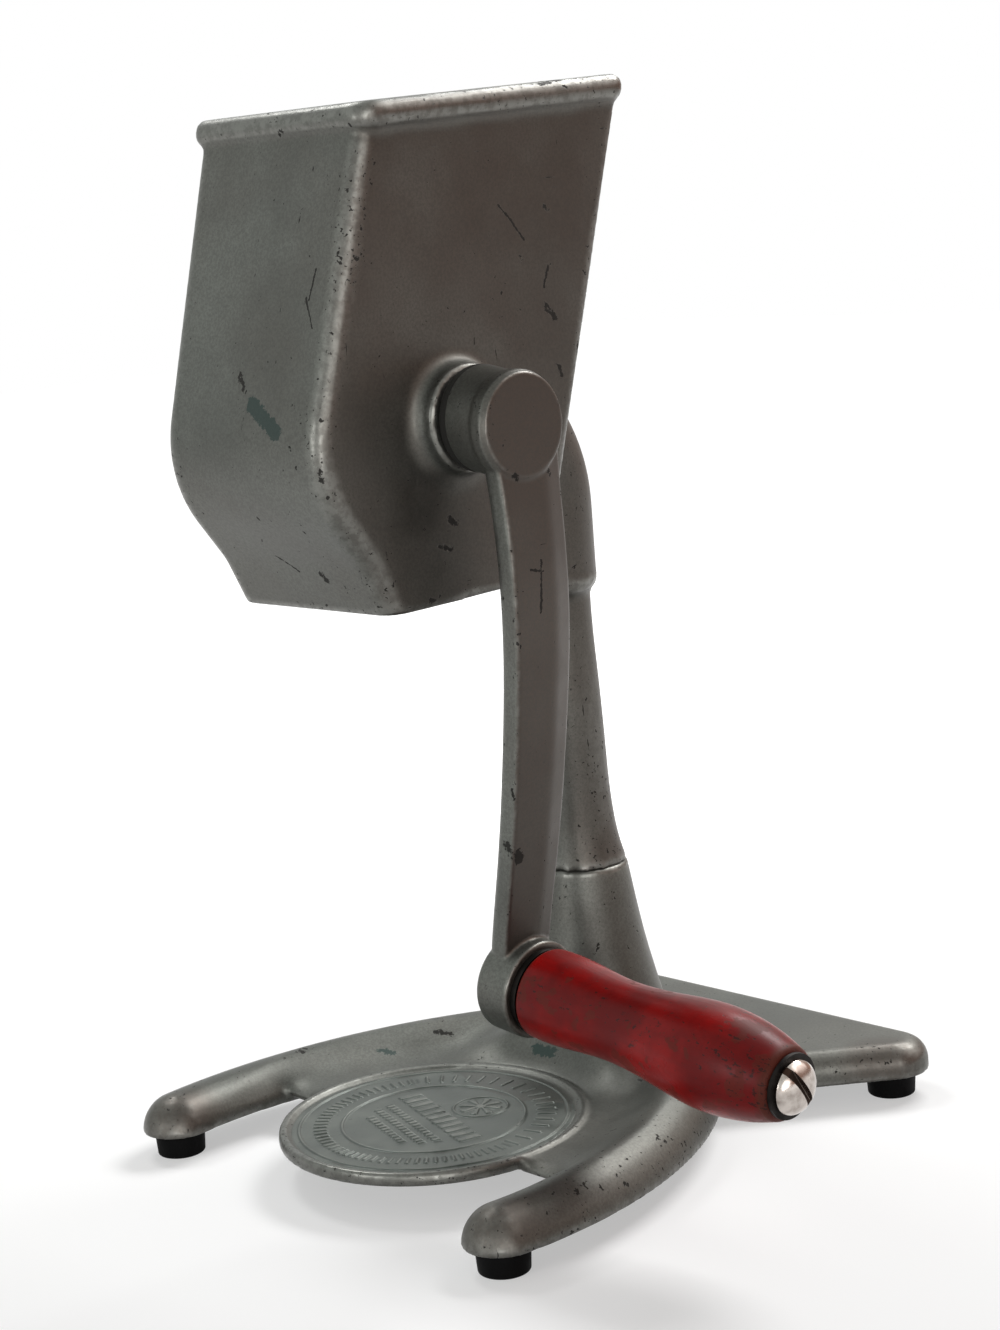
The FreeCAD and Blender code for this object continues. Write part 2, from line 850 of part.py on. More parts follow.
def underside():
    """Hollow under the tail, with solid pads left around the rear feet."""
    waist_x, waist_y = tail_waist()
    front_x = waist_x - underside_side_margin
    front_y = waist_y - underside_front_reach
    back_y = rear_edge_y - underside_margin
    turn = math.radians(tail_flare_angle)
    back_x = front_x + (back_y - waist_y) / math.tan(turn)
    plan = [
        (-front_x, front_y, underside_corner),
        (front_x, front_y, underside_corner),
        (back_x, back_y, underside_corner),
        (-back_x, back_y, underside_corner),
    ]
    hollow = prism(plan, plan_view(0.0), axis_z * (tail_top - underside_ceiling))
    for name in ("foot_rear_left", "foot_rear_right"):
        pad = cylinder(0.5 * foot_diameter + foot_pad_margin, tail_top, foot_centres[name], axis_z)
        hollow = hollow.cut(pad)
    return hollow


def base_casting():
    """Legs, plate, tail and pillar foot in one casting."""
    right = leg()
    left = right.mirror(Vector(0, 0, 0), axis_x)
    heavy = fuse([tail(), pillar_foot(), right, left])
    heavy = heavy.cut(valley())
    casting = fuse([heavy, plate_web()] + glass_plate())
    casting = casting.cut(underside())
    centre = Vector(0, pillar_y, 0)
    casting = casting.cut(cylinder(0.5 * bolt_pocket_diameter, bolt_seat_height, centre, axis_z))
    bolt_hole = cylinder(0.5 * bolt_diameter + bolt_clearance, seam_height + overshoot, centre, axis_z)
    casting = casting.cut(bolt_hole)
    socket_depth = spigot_length + spigot_end_gap
    socket_floor = centre + axis_z * (seam_height - socket_depth)
    socket = cylinder(spigot_radius + spigot_clearance, socket_depth + overshoot, socket_floor, axis_z)
    casting = casting.cut(socket)
    casting = casting.cut(pin_bar(thread_clearance))
    for foot in foot_centres.values():
        low = foot + axis_z * (foot_height - overshoot)
        depth = foot_screw_bite + 2 * overshoot
        casting = casting.cut(cylinder(0.5 * foot_screw_diameter + thread_clearance, depth, low, axis_z))
    return casting


def rubber_foot(centre):
    """Tapered rubber foot with a recess for its washer and screw."""
    low = 0.5 * foot_diameter - foot_taper
    high = 0.5 * foot_diameter
    recess = 0.5 * foot_recess_diameter
    bore = 0.5 * foot_screw_diameter + bolt_clearance
    points = [
        (0, recess),
        (0, low - foot_edge_round),
    ]
    points += round_corner(0, low, foot_edge_round)
    points += [
        (foot_height, high),
        (foot_height, bore),
        (foot_recess_depth, bore),
        (foot_recess_depth, recess),
    ]
    return revolve(points, centre, axis_z, axis_x)


def foot_washer(centre):
    """Washer in the recess of a foot."""
    bore = 0.5 * foot_screw_diameter + bolt_clearance
    base = centre + axis_z * (foot_recess_depth - foot_washer_thickness)
    return ring(0.5 * foot_washer_diameter, bore, foot_washer_thickness, base, axis_z)


def foot_screw(centre):
    """Slotted screw that holds a foot, its head inside the recess."""
    seat = foot_recess_depth - foot_washer_thickness
    low = centre + axis_z * (seat - foot_screw_head_height)
    head = cylinder(0.5 * foot_screw_head_diameter, foot_screw_head_height, low, axis_z)
    shank_length = foot_height - seat + foot_screw_bite
    shank = cylinder(0.5 * foot_screw_diameter, shank_length, centre + axis_z * seat, axis_z)
    half_length = 0.5 * foot_screw_head_diameter + overshoot
    slot = Part.makeBox(2 * half_length, foot_screw_slot, foot_screw_slot,
                        low - Vector(half_length, 0.5 * foot_screw_slot, 0))
    return head.fuse(shank).cut(slot)


def group(shapes):
    """Separate solids that share one node."""
    return Part.makeCompound(shapes)


def pedestal_bolt():
    """Long bolt from under the base up into the column."""
    stack = washer_thickness + lock_washer_thickness
    seat = bolt_seat_height - stack
    base = Vector(0, pillar_y, seat - bolt_head_height)
    head = hexagon_bar(bolt_head_width, bolt_head_height, base)
    reach = seam_height + bolt_bite - seat
    shank = cylinder(0.5 * bolt_diameter, reach, Vector(0, pillar_y, seat), axis_z)
    return fuse([head, shank])


def pedestal_washer():
    """Plain washer against the base."""
    base = Vector(0, pillar_y, bolt_seat_height - washer_thickness)
    return ring(0.5 * washer_diameter, 0.5 * bolt_diameter + bolt_clearance, washer_thickness, base, axis_z)


def pedestal_lock_washer():
    """Split washer under the bolt's head."""
    base = Vector(0, pillar_y, bolt_seat_height - washer_thickness - lock_washer_thickness)
    bore = 0.5 * bolt_diameter + bolt_clearance
    body = ring(0.5 * lock_washer_diameter, bore, lock_washer_thickness, base, axis_z)
    corner = base - Vector(0.5 * lock_washer_split, 0, overshoot)
    tall = lock_washer_thickness + 2 * overshoot
    split = Part.makeBox(lock_washer_split, lock_washer_diameter, tall, corner)
    return body.cut(split)


# Stations along the shaft, outwards from the middle
boss_face_x = half_width(shaft_z) + boss_proud
hub_inner_x = boss_face_x + bushing_flange_thickness + thrust_washer_thickness + end_play
hub_outer_x = hub_inner_x + hub_length
ring_outer_x = hub_inner_x + ring_thickness
drum_half_length = half_width(shaft_z) - hopper_wall - drum_side_gap


def bushing(side):
    """Flanged bearing bush pressed into a side boss."""
    inner_end = half_width(shaft_z) - hopper_wall
    bore = shaft_radius + running_clearance
    outward = axis_x * side
    start = shaft_centre + outward * inner_end
    tube = ring(shaft_radius + bushing_wall, bore, boss_face_x - inner_end, start, outward)
    face = shaft_centre + outward * boss_face_x
    return fuse([tube, ring(bushing_flange_radius, bore, bushing_flange_thickness, face, outward)])


def thrust_washer(side):
    """Washer that turns with the shaft against a bush's flange."""
    base = shaft_centre + axis_x * (side * (boss_face_x + bushing_flange_thickness + end_play))
    return ring(thrust_washer_radius, shaft_radius + slide_gap, thrust_washer_thickness, base, axis_x * side)


def drive_shaft():
    """Round shaft through both walls, grooved at the free end for its ring."""
    left_end = shaft_centre - axis_x * (ring_outer_x + shaft_tail)
    length = ring_outer_x + shaft_tail + hub_inner_x + shaft_bite
    bar = cylinder(shaft_radius, length, left_end, axis_x)
    groove_base = shaft_centre - axis_x * ring_outer_x
    groove_radius = shaft_radius - ring_groove_depth
    groove = ring(shaft_radius + overshoot, groove_radius, ring_thickness, groove_base, axis_x)
    return bar.cut(groove).cut(drum_pin_bar())


def retaining_ring():
    """Open ring in the groove at the free end of the shaft."""
    base = shaft_centre - axis_x * ring_outer_x
    body = ring(ring_radius, shaft_radius - ring_groove_depth, ring_thickness, base, axis_x)
    mouth = 1.5 * shaft_radius
    deep = ring_radius + overshoot
    gap_corner = base - Vector(overshoot, 0.5 * mouth, deep)
    return body.cut(Part.makeBox(ring_thickness + 2 * overshoot, mouth, deep, gap_corner))


def drum_pin_bar():
    """Pin across the drum and the shaft."""
    half_length = drum_radius - drum_pin_recess
    return cylinder(0.5 * drum_pin_diameter, 2 * half_length, shaft_centre - axis_z * half_length, axis_z)


def tooth_columns(row):
    """Places along the shaft of the teeth in one row; rows alternate."""
    return (-2, 0, 2) if row % 2 == 0 else (-1, 1)


def rotor_drum():
    """Drum with rows of pointed teeth that pass between the comb's fingers."""
    drum = cylinder(drum_radius, 2 * drum_half_length, shaft_centre - axis_x * drum_half_length, axis_x)
    shapes = [drum]
    for row in range(tooth_rows):
        angle = 360.0 * row / tooth_rows + first_row_angle
        for column in tooth_columns(row):
            x = column * tooth_pitch - 0.5 * tooth_thickness
            profile = [
                (-0.5 * tooth_root_width, drum_radius - tooth_sink, 0),
                (0.5 * tooth_root_width, drum_radius - tooth_sink, 0),
                (0.5 * tooth_tip_width, tooth_tip_radius, 0),
                (-0.5 * tooth_tip_width, tooth_tip_radius, 0),
            ]
            tooth = prism(profile, side_view(x), axis_x * tooth_thickness)
            tooth.translate(shaft_centre)
            tooth.rotate(shaft_centre, axis_x, angle)
            shapes.append(tooth)
    body = fuse(shapes)
    reach = drum_half_length + overshoot
    bore = cylinder(shaft_radius + press_gap, 2 * reach, shaft_centre - axis_x * reach, axis_x)
    return body.cut(bore).cut(drum_pin_bar())


def breaker_comb():
    """Bar on the rear wall with fingers between the rotor's teeth."""
    outer, inward = comb_seat()
    up_wall = axis_x.cross(inward) * -1
    seat = outer + inward * hopper_wall
    half = half_width(comb_bar_z) - hopper_wall - comb_side_gap
    low = -0.5 * comb_bar_height
    edge = comb_edge_round
    front = [(-half, low, edge), (half, low, edge), (half, -low, edge), (-half, -low, edge)]
    shapes = [prism(front, lambda x, v: seat + axis_x * x + up_wall * v, inward * comb_thickness)]
    finger_width = tooth_pitch - tooth_thickness - 2 * comb_finger_side_gap
    root = seat + up_wall * low
    to_shaft = Vector(0, shaft_y - root.y, shaft_z - root.z)
    reach = to_shaft.Length - drum_radius - comb_finger_gap
    along = to_shaft.normalize()
    across = Vector(0, along.z, -along.y)
    if across.dot(up_wall) < 0:
        across = across * -1
    deep = comb_finger_depth
    for step in range(-3, 3):
        x = (step + 0.5) * tooth_pitch
        if abs(x) + 0.5 * finger_width > half:
            continue
        start = root + axis_x * (x - 0.5 * finger_width)
        corners = [
            (0.0, 0.0, 0),
            (reach, 0.2 * deep, 0),
            (reach, 0.7 * deep, 0),
            (-0.2 * deep, 1.4 * deep, 0),
        ]
        finger = prism(corners, lambda a, c: start + along * a + across * c, axis_x * finger_width)
        shapes.append(finger)
    comb = fuse(shapes)
    for solid in comb_screw_holes(0.5 * comb_screw_diameter + thread_clearance):
        comb = comb.cut(solid)
    return comb.common(hopper_solid(hopper_wall, hopper_spare))


def comb_screws():
    """Two screws from behind the hopper into the comb."""
    outer, inward = comb_seat()
    solids = []
    for side in (-1, 1):
        seat = outer + axis_x * (side * comb_screw_x) - inward * comb_pad_proud
        length = comb_pad_proud + hopper_wall + comb_thickness
        shank = cylinder(0.5 * comb_screw_diameter, length, seat, inward)
        points = [
            (0, 0),
            (0, 0.5 * comb_screw_head_diameter),
            (0.75 * comb_screw_head_height, 0.36 * comb_screw_head_diameter, "arc"),
            (comb_screw_head_height, 0),
        ]
        head = revolve(points, seat, inward * -1, axis_x)
        half_slot = 0.5 * comb_screw_slot
        slot_corner = Vector(-half_slot, -0.5 * comb_screw_head_diameter, -comb_screw_slot)
        slot = Part.makeBox(comb_screw_slot, comb_screw_head_diameter, 2 * comb_screw_slot, slot_corner)
        slot.rotate(Vector(0, 0, 0), axis_x, 90 + hopper_lean)
        slot.translate(seat - inward * comb_screw_head_height)
        solids.append(fuse([head, shank]).cut(slot))
    return group(solids)


set_screw_middle = shaft_centre + axis_x * (hub_inner_x + set_screw_share * hub_length)

# Handle axis, which droops a little outwards
droop = math.radians(handle_droop)
handle_axis = Vector(math.cos(droop), 0, -math.sin(droop))
handle_rise = Vector(math.sin(droop), 0, math.cos(droop))
grip_start = Vector(handle_face_x, handle_y, handle_z)
boss_face = grip_start - handle_axis * (collar_washer_thickness + collar_gap)
boss_back = boss_face - handle_axis * lower_boss_length


def arm_section(share, bow):
    """Rounded section of the arm, level, at a share of the way from hub to lower boss."""
    width = arm_top_width + share * (arm_bottom_width - arm_top_width)
    if share < arm_neck_share:
        width += arm_neck_flare * (1.0 - share / arm_neck_share) ** 2
    top = Vector(hub_outer_x - hub_disc_proud, shaft_y, shaft_z)
    foot = boss_face - handle_axis * arm_end_inset
    face = top + (foot - top) * share + axis_x * bow
    shift = arm_top_shift + share * (arm_bottom_shift - arm_top_shift)
    front = shift - 0.5 * width
    rear = shift + 0.5 * width
    corners = [
        (-arm_thickness, front, arm_inner_round),
        (0.0, front, arm_front_round),
        (0.0, rear - arm_bevel_width, arm_bevel_round),
        (-arm_bevel_drop, rear, arm_rear_round),
        (-arm_thickness, rear, arm_rear_round),
    ]
    return outline(corners, lambda x, y: face + axis_x * x + axis_y * y)


def hub():
    """Round hub that sinks a little towards its head, with a flat disc on its end."""
    base = shaft_centre + axis_x * hub_inner_x
    foot = [
        (0, 0),
        (0, hub_radius - hub_edge_round),
        (hub_edge_round, hub_radius),
        (hub_foot_length, hub_radius),
        (hub_foot_length, 0),
    ]
    head_start = hub_length - hub_head_length - hub_disc_proud
    head_base = base - axis_z * hub_head_drop
    foot_circle = Part.makeCircle(hub_radius, base + axis_x * hub_foot_length, axis_x)
    head_circle = Part.makeCircle(hub_radius, head_base + axis_x * head_start, axis_x)
    middle = Part.makeLoft([Part.Wire(foot_circle), Part.Wire(head_circle)], True, True)
    disc_start = hub_length - hub_disc_proud
    head = [
        (head_start, 0),
        (head_start, hub_radius),
        (head_start + hub_edge_round, hub_head_radius),
        (disc_start - hub_edge_round, hub_head_radius),
        (disc_start, hub_head_radius - hub_edge_round),
        (disc_start, hub_disc_radius),
        (hub_length - hub_disc_round, hub_disc_radius),
        (hub_length, hub_disc_radius - hub_disc_round),
        (hub_length, 0),
    ]
    return [revolve(foot, base, axis_x, axis_z), middle, revolve(head, head_base, axis_x, axis_z)]


def lower_boss():
    """Round end of the arm that the handle's bolt screws into."""
    edge = lower_boss_edge
    points = [(0, 0), (0, lower_boss_radius - lower_boss_round)]
    points += round_corner(0, lower_boss_radius, lower_boss_round)
    points += [
        (lower_boss_length - edge, lower_boss_radius),
        (lower_boss_length, lower_boss_radius - edge),
        (lower_boss_length, 0),
    ]
    return revolve(points, boss_back, handle_axis, handle_rise)


def crank_arm():
    """Hub, bowed arm and lower boss in one casting."""
    wires = [arm_section(share, bow) for share, bow in arm_bow]
    body = fuse(hub() + [Part.makeLoft(wires, True, False), lower_boss()])
    hub_face = shaft_centre + axis_x * (hub_inner_x - overshoot)
    body = body.cut(cylinder(shaft_radius + press_gap, shaft_bite + 2 * overshoot, hub_face, axis_x))
    thread_start = boss_back - handle_axis * overshoot
    thread_length = lower_boss_length + 2 * overshoot
    thread = cylinder(0.5 * handle_bolt_diameter + thread_clearance, thread_length, thread_start, handle_axis)
    return body.cut(thread).cut(set_screw_bar(set_screw_clearance, 2 * overshoot))


def set_screw_bar(clearance, extra):
    """Hole or body of the set screw at the back of the hub, longer outwards by `extra`."""
    start = shaft_radius + press_gap
    base = set_screw_middle + axis_y * start
    length = hub_radius - set_screw_recess - start + extra
    return cylinder(0.5 * set_screw_diameter + clearance, length, base, axis_y)


def crank_set_screw():
    """Socket set screw that clamps the hub on the shaft."""
    floor = set_screw_middle + axis_y * (hub_radius - set_screw_recess - set_screw_socket_depth)
    depth = set_screw_socket_depth + overshoot
    return set_screw_bar(0.0, 0.0).cut(cylinder(0.5 * set_screw_socket_diameter, depth, floor, axis_y))


def handle_collar():
    """Dark washer between the lower boss and the grip."""
    bore = 0.5 * handle_bolt_diameter + slide_gap
    return ring(collar_washer_radius, bore, collar_washer_thickness, boss_face, handle_axis)


def handle_grip():
    """Turned wooden grip that spins on its bolt."""
    bore = 0.5 * handle_bolt_diameter + grip_bore_clearance
    middle_radius = 0.48 * (grip_waist_radius + grip_belly_radius)
    taper_radius = 0.5 * (grip_belly_radius + grip_end_radius) + grip_taper_fullness
    points = [(0, bore), (0, grip_base_radius - grip_base_round)]
    points += round_corner(0, grip_base_radius, grip_base_round)
    points += [
        (grip_neck_at * grip_length, grip_base_radius - grip_neck_draft, "curve"),
        (grip_waist_at * grip_length, grip_waist_radius, "curve"),
        (0.5 * (grip_waist_at + grip_belly_at) * grip_length, middle_radius, "curve"),
        (grip_belly_at * grip_length, grip_belly_radius, "curve"),
        (grip_taper_at * grip_length, taper_radius, "curve"),
        (grip_length - grip_end_round, grip_end_radius, "curve"),
        (grip_length - arc_share * grip_end_round, grip_end_radius - 0.35 * grip_end_round, "arc"),
        (grip_length, grip_end_radius - grip_end_round),
        (grip_length, bore),
    ]
    return revolve(points, grip_start, handle_axis, handle_rise)


def handle_ferrule():
    """Steel washer between the grip's end and the bolt's head."""
    base = grip_start + handle_axis * (grip_length + collar_gap)
    bore = 0.5 * handle_bolt_diameter + slide_gap
    return ring(ferrule_radius, bore, ferrule_thickness, base, handle_axis)


def handle_bolt():
    """Long bolt with a slotted dome head, screwed into the lower boss."""
    head_seat = grip_start + handle_axis * (grip_length + collar_gap + ferrule_thickness)
    length = (head_seat - boss_back).Length
    shank = cylinder(0.5 * handle_bolt_diameter, length, boss_back, handle_axis)
    points = [
        (0, 0),
        (0, bolt_head_radius - bolt_rim_draft),
        (bolt_rim_height, bolt_head_radius),
        (0.55 * bolt_head_rise, 0.86 * bolt_head_radius, "curve"),
        (0.85 * bolt_head_rise, 0.55 * bolt_head_radius, "curve"),
        (bolt_head_rise, 0, "curve"),
    ]
    head = revolve(points, head_seat, handle_axis, handle_rise)
    half_length = bolt_head_radius + overshoot
    slot_corner = Vector(bolt_head_rise - bolt_slot_depth, -0.5 * bolt_slot_width, -half_length)
    slot = Part.makeBox(bolt_slot_depth + overshoot, bolt_slot_width, 2 * half_length, slot_corner)
    slot.rotate(Vector(0, 0, 0), axis_x, bolt_slot_turn)
    slot.rotate(Vector(0, 0, 0), axis_y, handle_droop)
    slot.translate(head_seat)
    return fuse([shank, head]).cut(slot)


def parts():
    """Every node by name."""
    nodes = {}
    nodes["base_casting"] = base_casting()
    for name, centre in foot_centres.items():
        nodes[name] = rubber_foot(centre)
    nodes["foot_washers"] = group([foot_washer(centre) for centre in foot_centres.values()])
    nodes["foot_screws"] = group([foot_screw(centre) for centre in foot_centres.values()])
    nodes["hopper_casting"] = hopper_casting()
    nodes["locating_pin"] = pin_bar(0.0)
    nodes["pedestal_bolt"] = pedestal_bolt()
    nodes["pedestal_washer"] = pedestal_washer()
    nodes["pedestal_lock_washer"] = pedestal_lock_washer()
    nodes["right_bushing"] = bushing(1)
    nodes["left_bushing"] = bushing(-1)
    nodes["right_thrust_washer"] = thrust_washer(1)
    nodes["left_thrust_washer"] = thrust_washer(-1)
    nodes["drive_shaft"] = drive_shaft()
    nodes["retaining_ring"] = retaining_ring()
    nodes["rotor_drum"] = rotor_drum()
    nodes["rotor_pin"] = drum_pin_bar()
    nodes["breaker_comb"] = breaker_comb()
    nodes["comb_screws"] = comb_screws()
    nodes["crank_arm"] = crank_arm()
    nodes["crank_set_screw"] = crank_set_screw()
    nodes["handle_collar"] = handle_collar()
    nodes["handle_grip"] = handle_grip()
    nodes["handle_ferrule"] = handle_ferrule()
    nodes["handle_bolt"] = handle_bolt()
    return nodes


os.makedirs("parts", exist_ok=True)
for name, shape in parts().items():
    if not shape.isValid():
        print("not valid:", name)
    print(name, len(shape.Solids), round(shape.Volume, 1))
    shape.translate(Vector(plate_x, plate_y, 0))
    shape.exportStep("parts/" + name + ".step")
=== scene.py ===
# %% [markdown]
# # Hand crank ice crusher
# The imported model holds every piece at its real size. This lesson dresses it: the castings get
# soft cast edges, the glass plate gets its raised pattern, and each surface gets a finish built
# from nodes. All lengths are in metres, in the model's own frame.

# %% Load the frame
import json
import math
import bmesh
import bpy
import numpy as np
from mathutils import Matrix, Vector


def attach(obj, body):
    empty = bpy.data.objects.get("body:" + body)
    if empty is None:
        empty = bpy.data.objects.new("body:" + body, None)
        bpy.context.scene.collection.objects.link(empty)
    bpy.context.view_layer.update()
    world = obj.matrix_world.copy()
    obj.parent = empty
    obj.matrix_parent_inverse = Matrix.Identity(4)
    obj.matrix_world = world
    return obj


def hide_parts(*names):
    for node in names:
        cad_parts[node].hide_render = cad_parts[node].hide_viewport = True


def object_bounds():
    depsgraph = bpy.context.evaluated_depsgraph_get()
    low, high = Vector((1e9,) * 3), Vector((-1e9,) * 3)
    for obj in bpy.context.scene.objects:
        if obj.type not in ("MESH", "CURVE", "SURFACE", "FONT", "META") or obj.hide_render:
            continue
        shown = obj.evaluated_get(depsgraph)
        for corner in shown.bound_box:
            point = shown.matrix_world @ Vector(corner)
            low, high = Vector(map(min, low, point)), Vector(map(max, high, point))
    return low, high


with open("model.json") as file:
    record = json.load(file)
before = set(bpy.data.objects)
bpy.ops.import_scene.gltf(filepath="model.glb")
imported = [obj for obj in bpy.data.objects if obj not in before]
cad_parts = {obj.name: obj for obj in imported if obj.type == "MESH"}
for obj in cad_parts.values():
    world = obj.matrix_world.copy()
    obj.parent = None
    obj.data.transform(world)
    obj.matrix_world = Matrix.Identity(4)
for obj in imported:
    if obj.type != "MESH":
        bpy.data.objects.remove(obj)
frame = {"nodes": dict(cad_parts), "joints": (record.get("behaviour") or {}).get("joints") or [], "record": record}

MM = 0.001
cad_low, cad_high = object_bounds()
nodes = frame["nodes"]
joints = {joint["name"]: joint for joint in frame["joints"]}
print("nodes:", len(nodes), "CAD box:", tuple(cad_low), tuple(cad_high))

# %% [markdown]
# ## Camera
# The photograph was taken with a long lens from the front right, a little above the object, and
# slightly tilted. Its place was worked out from the object's own sizes, so it is written as
# a distance from the upright axis of the glass plate, which lies just in front of the shaft.

# %% Camera
SHAFT_BEHIND_PLATE = 0.3 * MM
CAMERA_FROM_PLATE = Vector((622.745, -525.827, 317.598)) * MM
CAMERA_TURN = math.radians(47.42)
CAMERA_DIP = math.radians(10.35)
CAMERA_ROLL = math.radians(-4.44)
CAMERA_LENS = 68.57
CAMERA_NEAREST = 50 * MM

shaft_at = Vector(joints["crank_turn"]["pos_m"])
plate_axis = Vector((shaft_at.x, shaft_at.y - SHAFT_BEHIND_PLATE, 0.0))
forward = Vector((-math.sin(CAMERA_TURN) * math.cos(CAMERA_DIP),
                  math.cos(CAMERA_TURN) * math.cos(CAMERA_DIP), -math.sin(CAMERA_DIP)))
level = Vector((math.cos(CAMERA_TURN), math.sin(CAMERA_TURN), 0.0))
upright = level.cross(forward)
right = level * math.cos(CAMERA_ROLL) + upright * math.sin(CAMERA_ROLL)
up = upright * math.cos(CAMERA_ROLL) - level * math.sin(CAMERA_ROLL)
camera = bpy.data.objects.new("camera", bpy.data.cameras.new("camera"))
camera.data.lens = CAMERA_LENS
camera.data.clip_start = CAMERA_NEAREST
camera.matrix_world = Matrix.Translation(plate_axis + CAMERA_FROM_PLATE) @ Matrix(
    (right, up, -forward)).transposed().to_4x4()
bpy.context.scene.collection.objects.link(camera)
bpy.context.scene.camera = camera
print("camera at", tuple(round(v, 3) for v in camera.location))

# %% [markdown]
# ## Node helpers
# A material is a small graph. These helpers keep it readable: one adds a node with its settings
# and links, short ones wrap the sums, ranges and mixes that every graph needs, and one opens
# a group with named inputs and outputs, for an effect that several materials share.

# %% Node helpers
MIX_SHARE, MIX_FIRST, MIX_SECOND, MIX_RESULT = 0, 6, 7, 2


def connect(tree, socket, source):
    """A socket linked to another node's output, or set to a plain value."""
    if isinstance(source, bpy.types.NodeSocket):
        tree.links.new(source, socket)
    else:
        socket.default_value = source


def add(tree, kind, links=None, **settings):
    """A node of one kind, with its settings, and its inputs linked or set by name or number."""
    node = tree.nodes.new("ShaderNode" + kind)
    for key, value in settings.items():
        setattr(node, key, value)
    for socket, source in (links or {}).items():
        connect(tree, node.inputs[socket], source)
    return node


def sums(tree, operation, first, second=0.0):
    """The result of one sum on two values."""
    return add(tree, "Math", {0: first, 1: second}, operation=operation).outputs[0]


def plus(tree, first, second):
    """Two values added."""
    return sums(tree, "ADD", first, second)


def minus(tree, first, second):
    """One value less another."""
    return sums(tree, "SUBTRACT", first, second)


def times(tree, first, second):
    """Two values multiplied."""
    return sums(tree, "MULTIPLY", first, second)


def highest(tree, first, *others):
    """The highest of several values."""
    for other in others:
        first = sums(tree, "MAXIMUM", first, other)
    return first


def arrows(tree, operation, first, second=(0, 0, 0), output="Vector"):
    """The result of one sum on two vectors: a vector, or with the output Value a number."""
    return add(tree, "VectorMath", {0: first, 1: second}, operation=operation).outputs[output]


def remap(tree, value, low, high, to_low=0.0, to_high=1.0):
    """A value carried smoothly from one range to another, and held at its ends."""
    ranges = {"Value": value, "From Min": low, "From Max": high,
              "To Min": to_low, "To Max": to_high}
    return add(tree, "MapRange", ranges, interpolation_type="SMOOTHSTEP").outputs["Result"]


def blend(tree, share, first, second, mode="MIX"):
    """Two colours mixed by a share."""
    parts = {MIX_SHARE: share, MIX_FIRST: first, MIX_SECOND: second}
    return add(tree, "Mix", parts, data_type="RGBA", blend_type=mode).outputs[MIX_RESULT]


def noise(tree, place, scale, detail=2.0, rough=0.5):
    """Fractal noise around one half."""
    values = {"Vector": place, "Scale": scale, "Detail": detail, "Roughness": rough}
    return add(tree, "TexNoise", values).outputs[0]


def ragged(tree, place, scale, detail, rough, reach):
    """Fractal noise around zero, which makes the outline of a mask uneven."""
    return times(tree, minus(tree, noise(tree, place, scale, detail, rough), 0.5), reach)


def open_group(name, inputs, output):
    """A node group with named inputs, where None stands for a vector, and one named output."""
    tree = bpy.data.node_groups.new(name, "ShaderNodeTree")
    for label, value in inputs.items():
        kind = "NodeSocketVector" if value is None else "NodeSocketFloat"
        socket = tree.interface.new_socket(label, in_out="INPUT", socket_type=kind)
        if value is not None:
            socket.default_value = value
    tree.interface.new_socket(output, in_out="OUTPUT", socket_type="NodeSocketFloat")
    given = tree.nodes.new("NodeGroupInput").outputs
    made = tree.nodes.new("NodeGroupOutput").inputs[output]
    return tree, given, made


def use(tree, group, links):
    """One use of a group in a material, with its inputs linked or set; gives its output."""
    node = tree.nodes.new("ShaderNodeGroup")
    node.node_tree = group
    for socket, source in links.items():
        connect(tree, node.inputs[socket], source)
    return node.outputs[0]


# %% [markdown]
# ## Clouds of tone
# Old castings are never one tone. Broad, soft clouds of light and dark make the first layer of
# every finish here, so they are one group, with a scale and a spread to choose.

# %% Clouds of tone
def cloud_group():
    """Fractal noise as a value from 0 to 1; a small Spread makes the step between them hard."""
    inputs = {"Vector": None, "Scale": 20.0, "Spread": 0.15}
    tree, given, made = open_group("tone_clouds", inputs, "Value")
    value = noise(tree, given["Vector"], given["Scale"], 4.0, 0.6)
    low, high = minus(tree, 0.5, given["Spread"]), plus(tree, 0.5, given["Spread"])
    tree.links.new(remap(tree, value, low, high), made)
    return tree


tone_clouds = cloud_group()
print("group:", tone_clouds.name)

# %% [markdown]
# ## Chips and pits
# The castings carry small dark chips with ragged edges, in loose swarms, and more of them along
# edges where they were knocked. They are the peaks of a fine noise. The height that counts as
# a peak comes down where a broad noise is high and where the material asks for more.

# %% Chips and pits
SWARM_SCALE = 0.07
SWARM_START, SWARM_FULL = 0.45, 0.72
CHIP_EDGE = 0.02


def chip_group():
    """Mask of the places where a fine noise is above a limit that swarms and Crowding lower."""
    inputs = {"Vector": None, "Scale": 400.0, "Limit": 0.74, "Crowding": 0.0, "Swarm": 0.06}
    tree, given, made = open_group("chips", inputs, "Mask")
    fine = noise(tree, given["Vector"], given["Scale"], 3.0, 0.62)
    broad = noise(tree, given["Vector"], times(tree, given["Scale"], SWARM_SCALE), 2.0)
    swarm = times(tree, remap(tree, broad, SWARM_START, SWARM_FULL), given["Swarm"])
    limit = minus(tree, given["Limit"], plus(tree, swarm, given["Crowding"]))
    tree.links.new(remap(tree, minus(tree, fine, limit), 0.0, CHIP_EDGE), made)
    return tree


chips = chip_group()
print("group:", chips.name)

# %% [markdown]
# ## Scratches
# The finest marks, such as the curled scratches on the side and the hooks on the arm, are thinner
# than the squares of the mesh, so they are found in the finish itself: each is a short line
# between two points with a width, and fine noise makes its outline ragged.

# %% Scratches
SCRATCH_RAGGED = 3.5
SCRATCH_CORE = 0.75


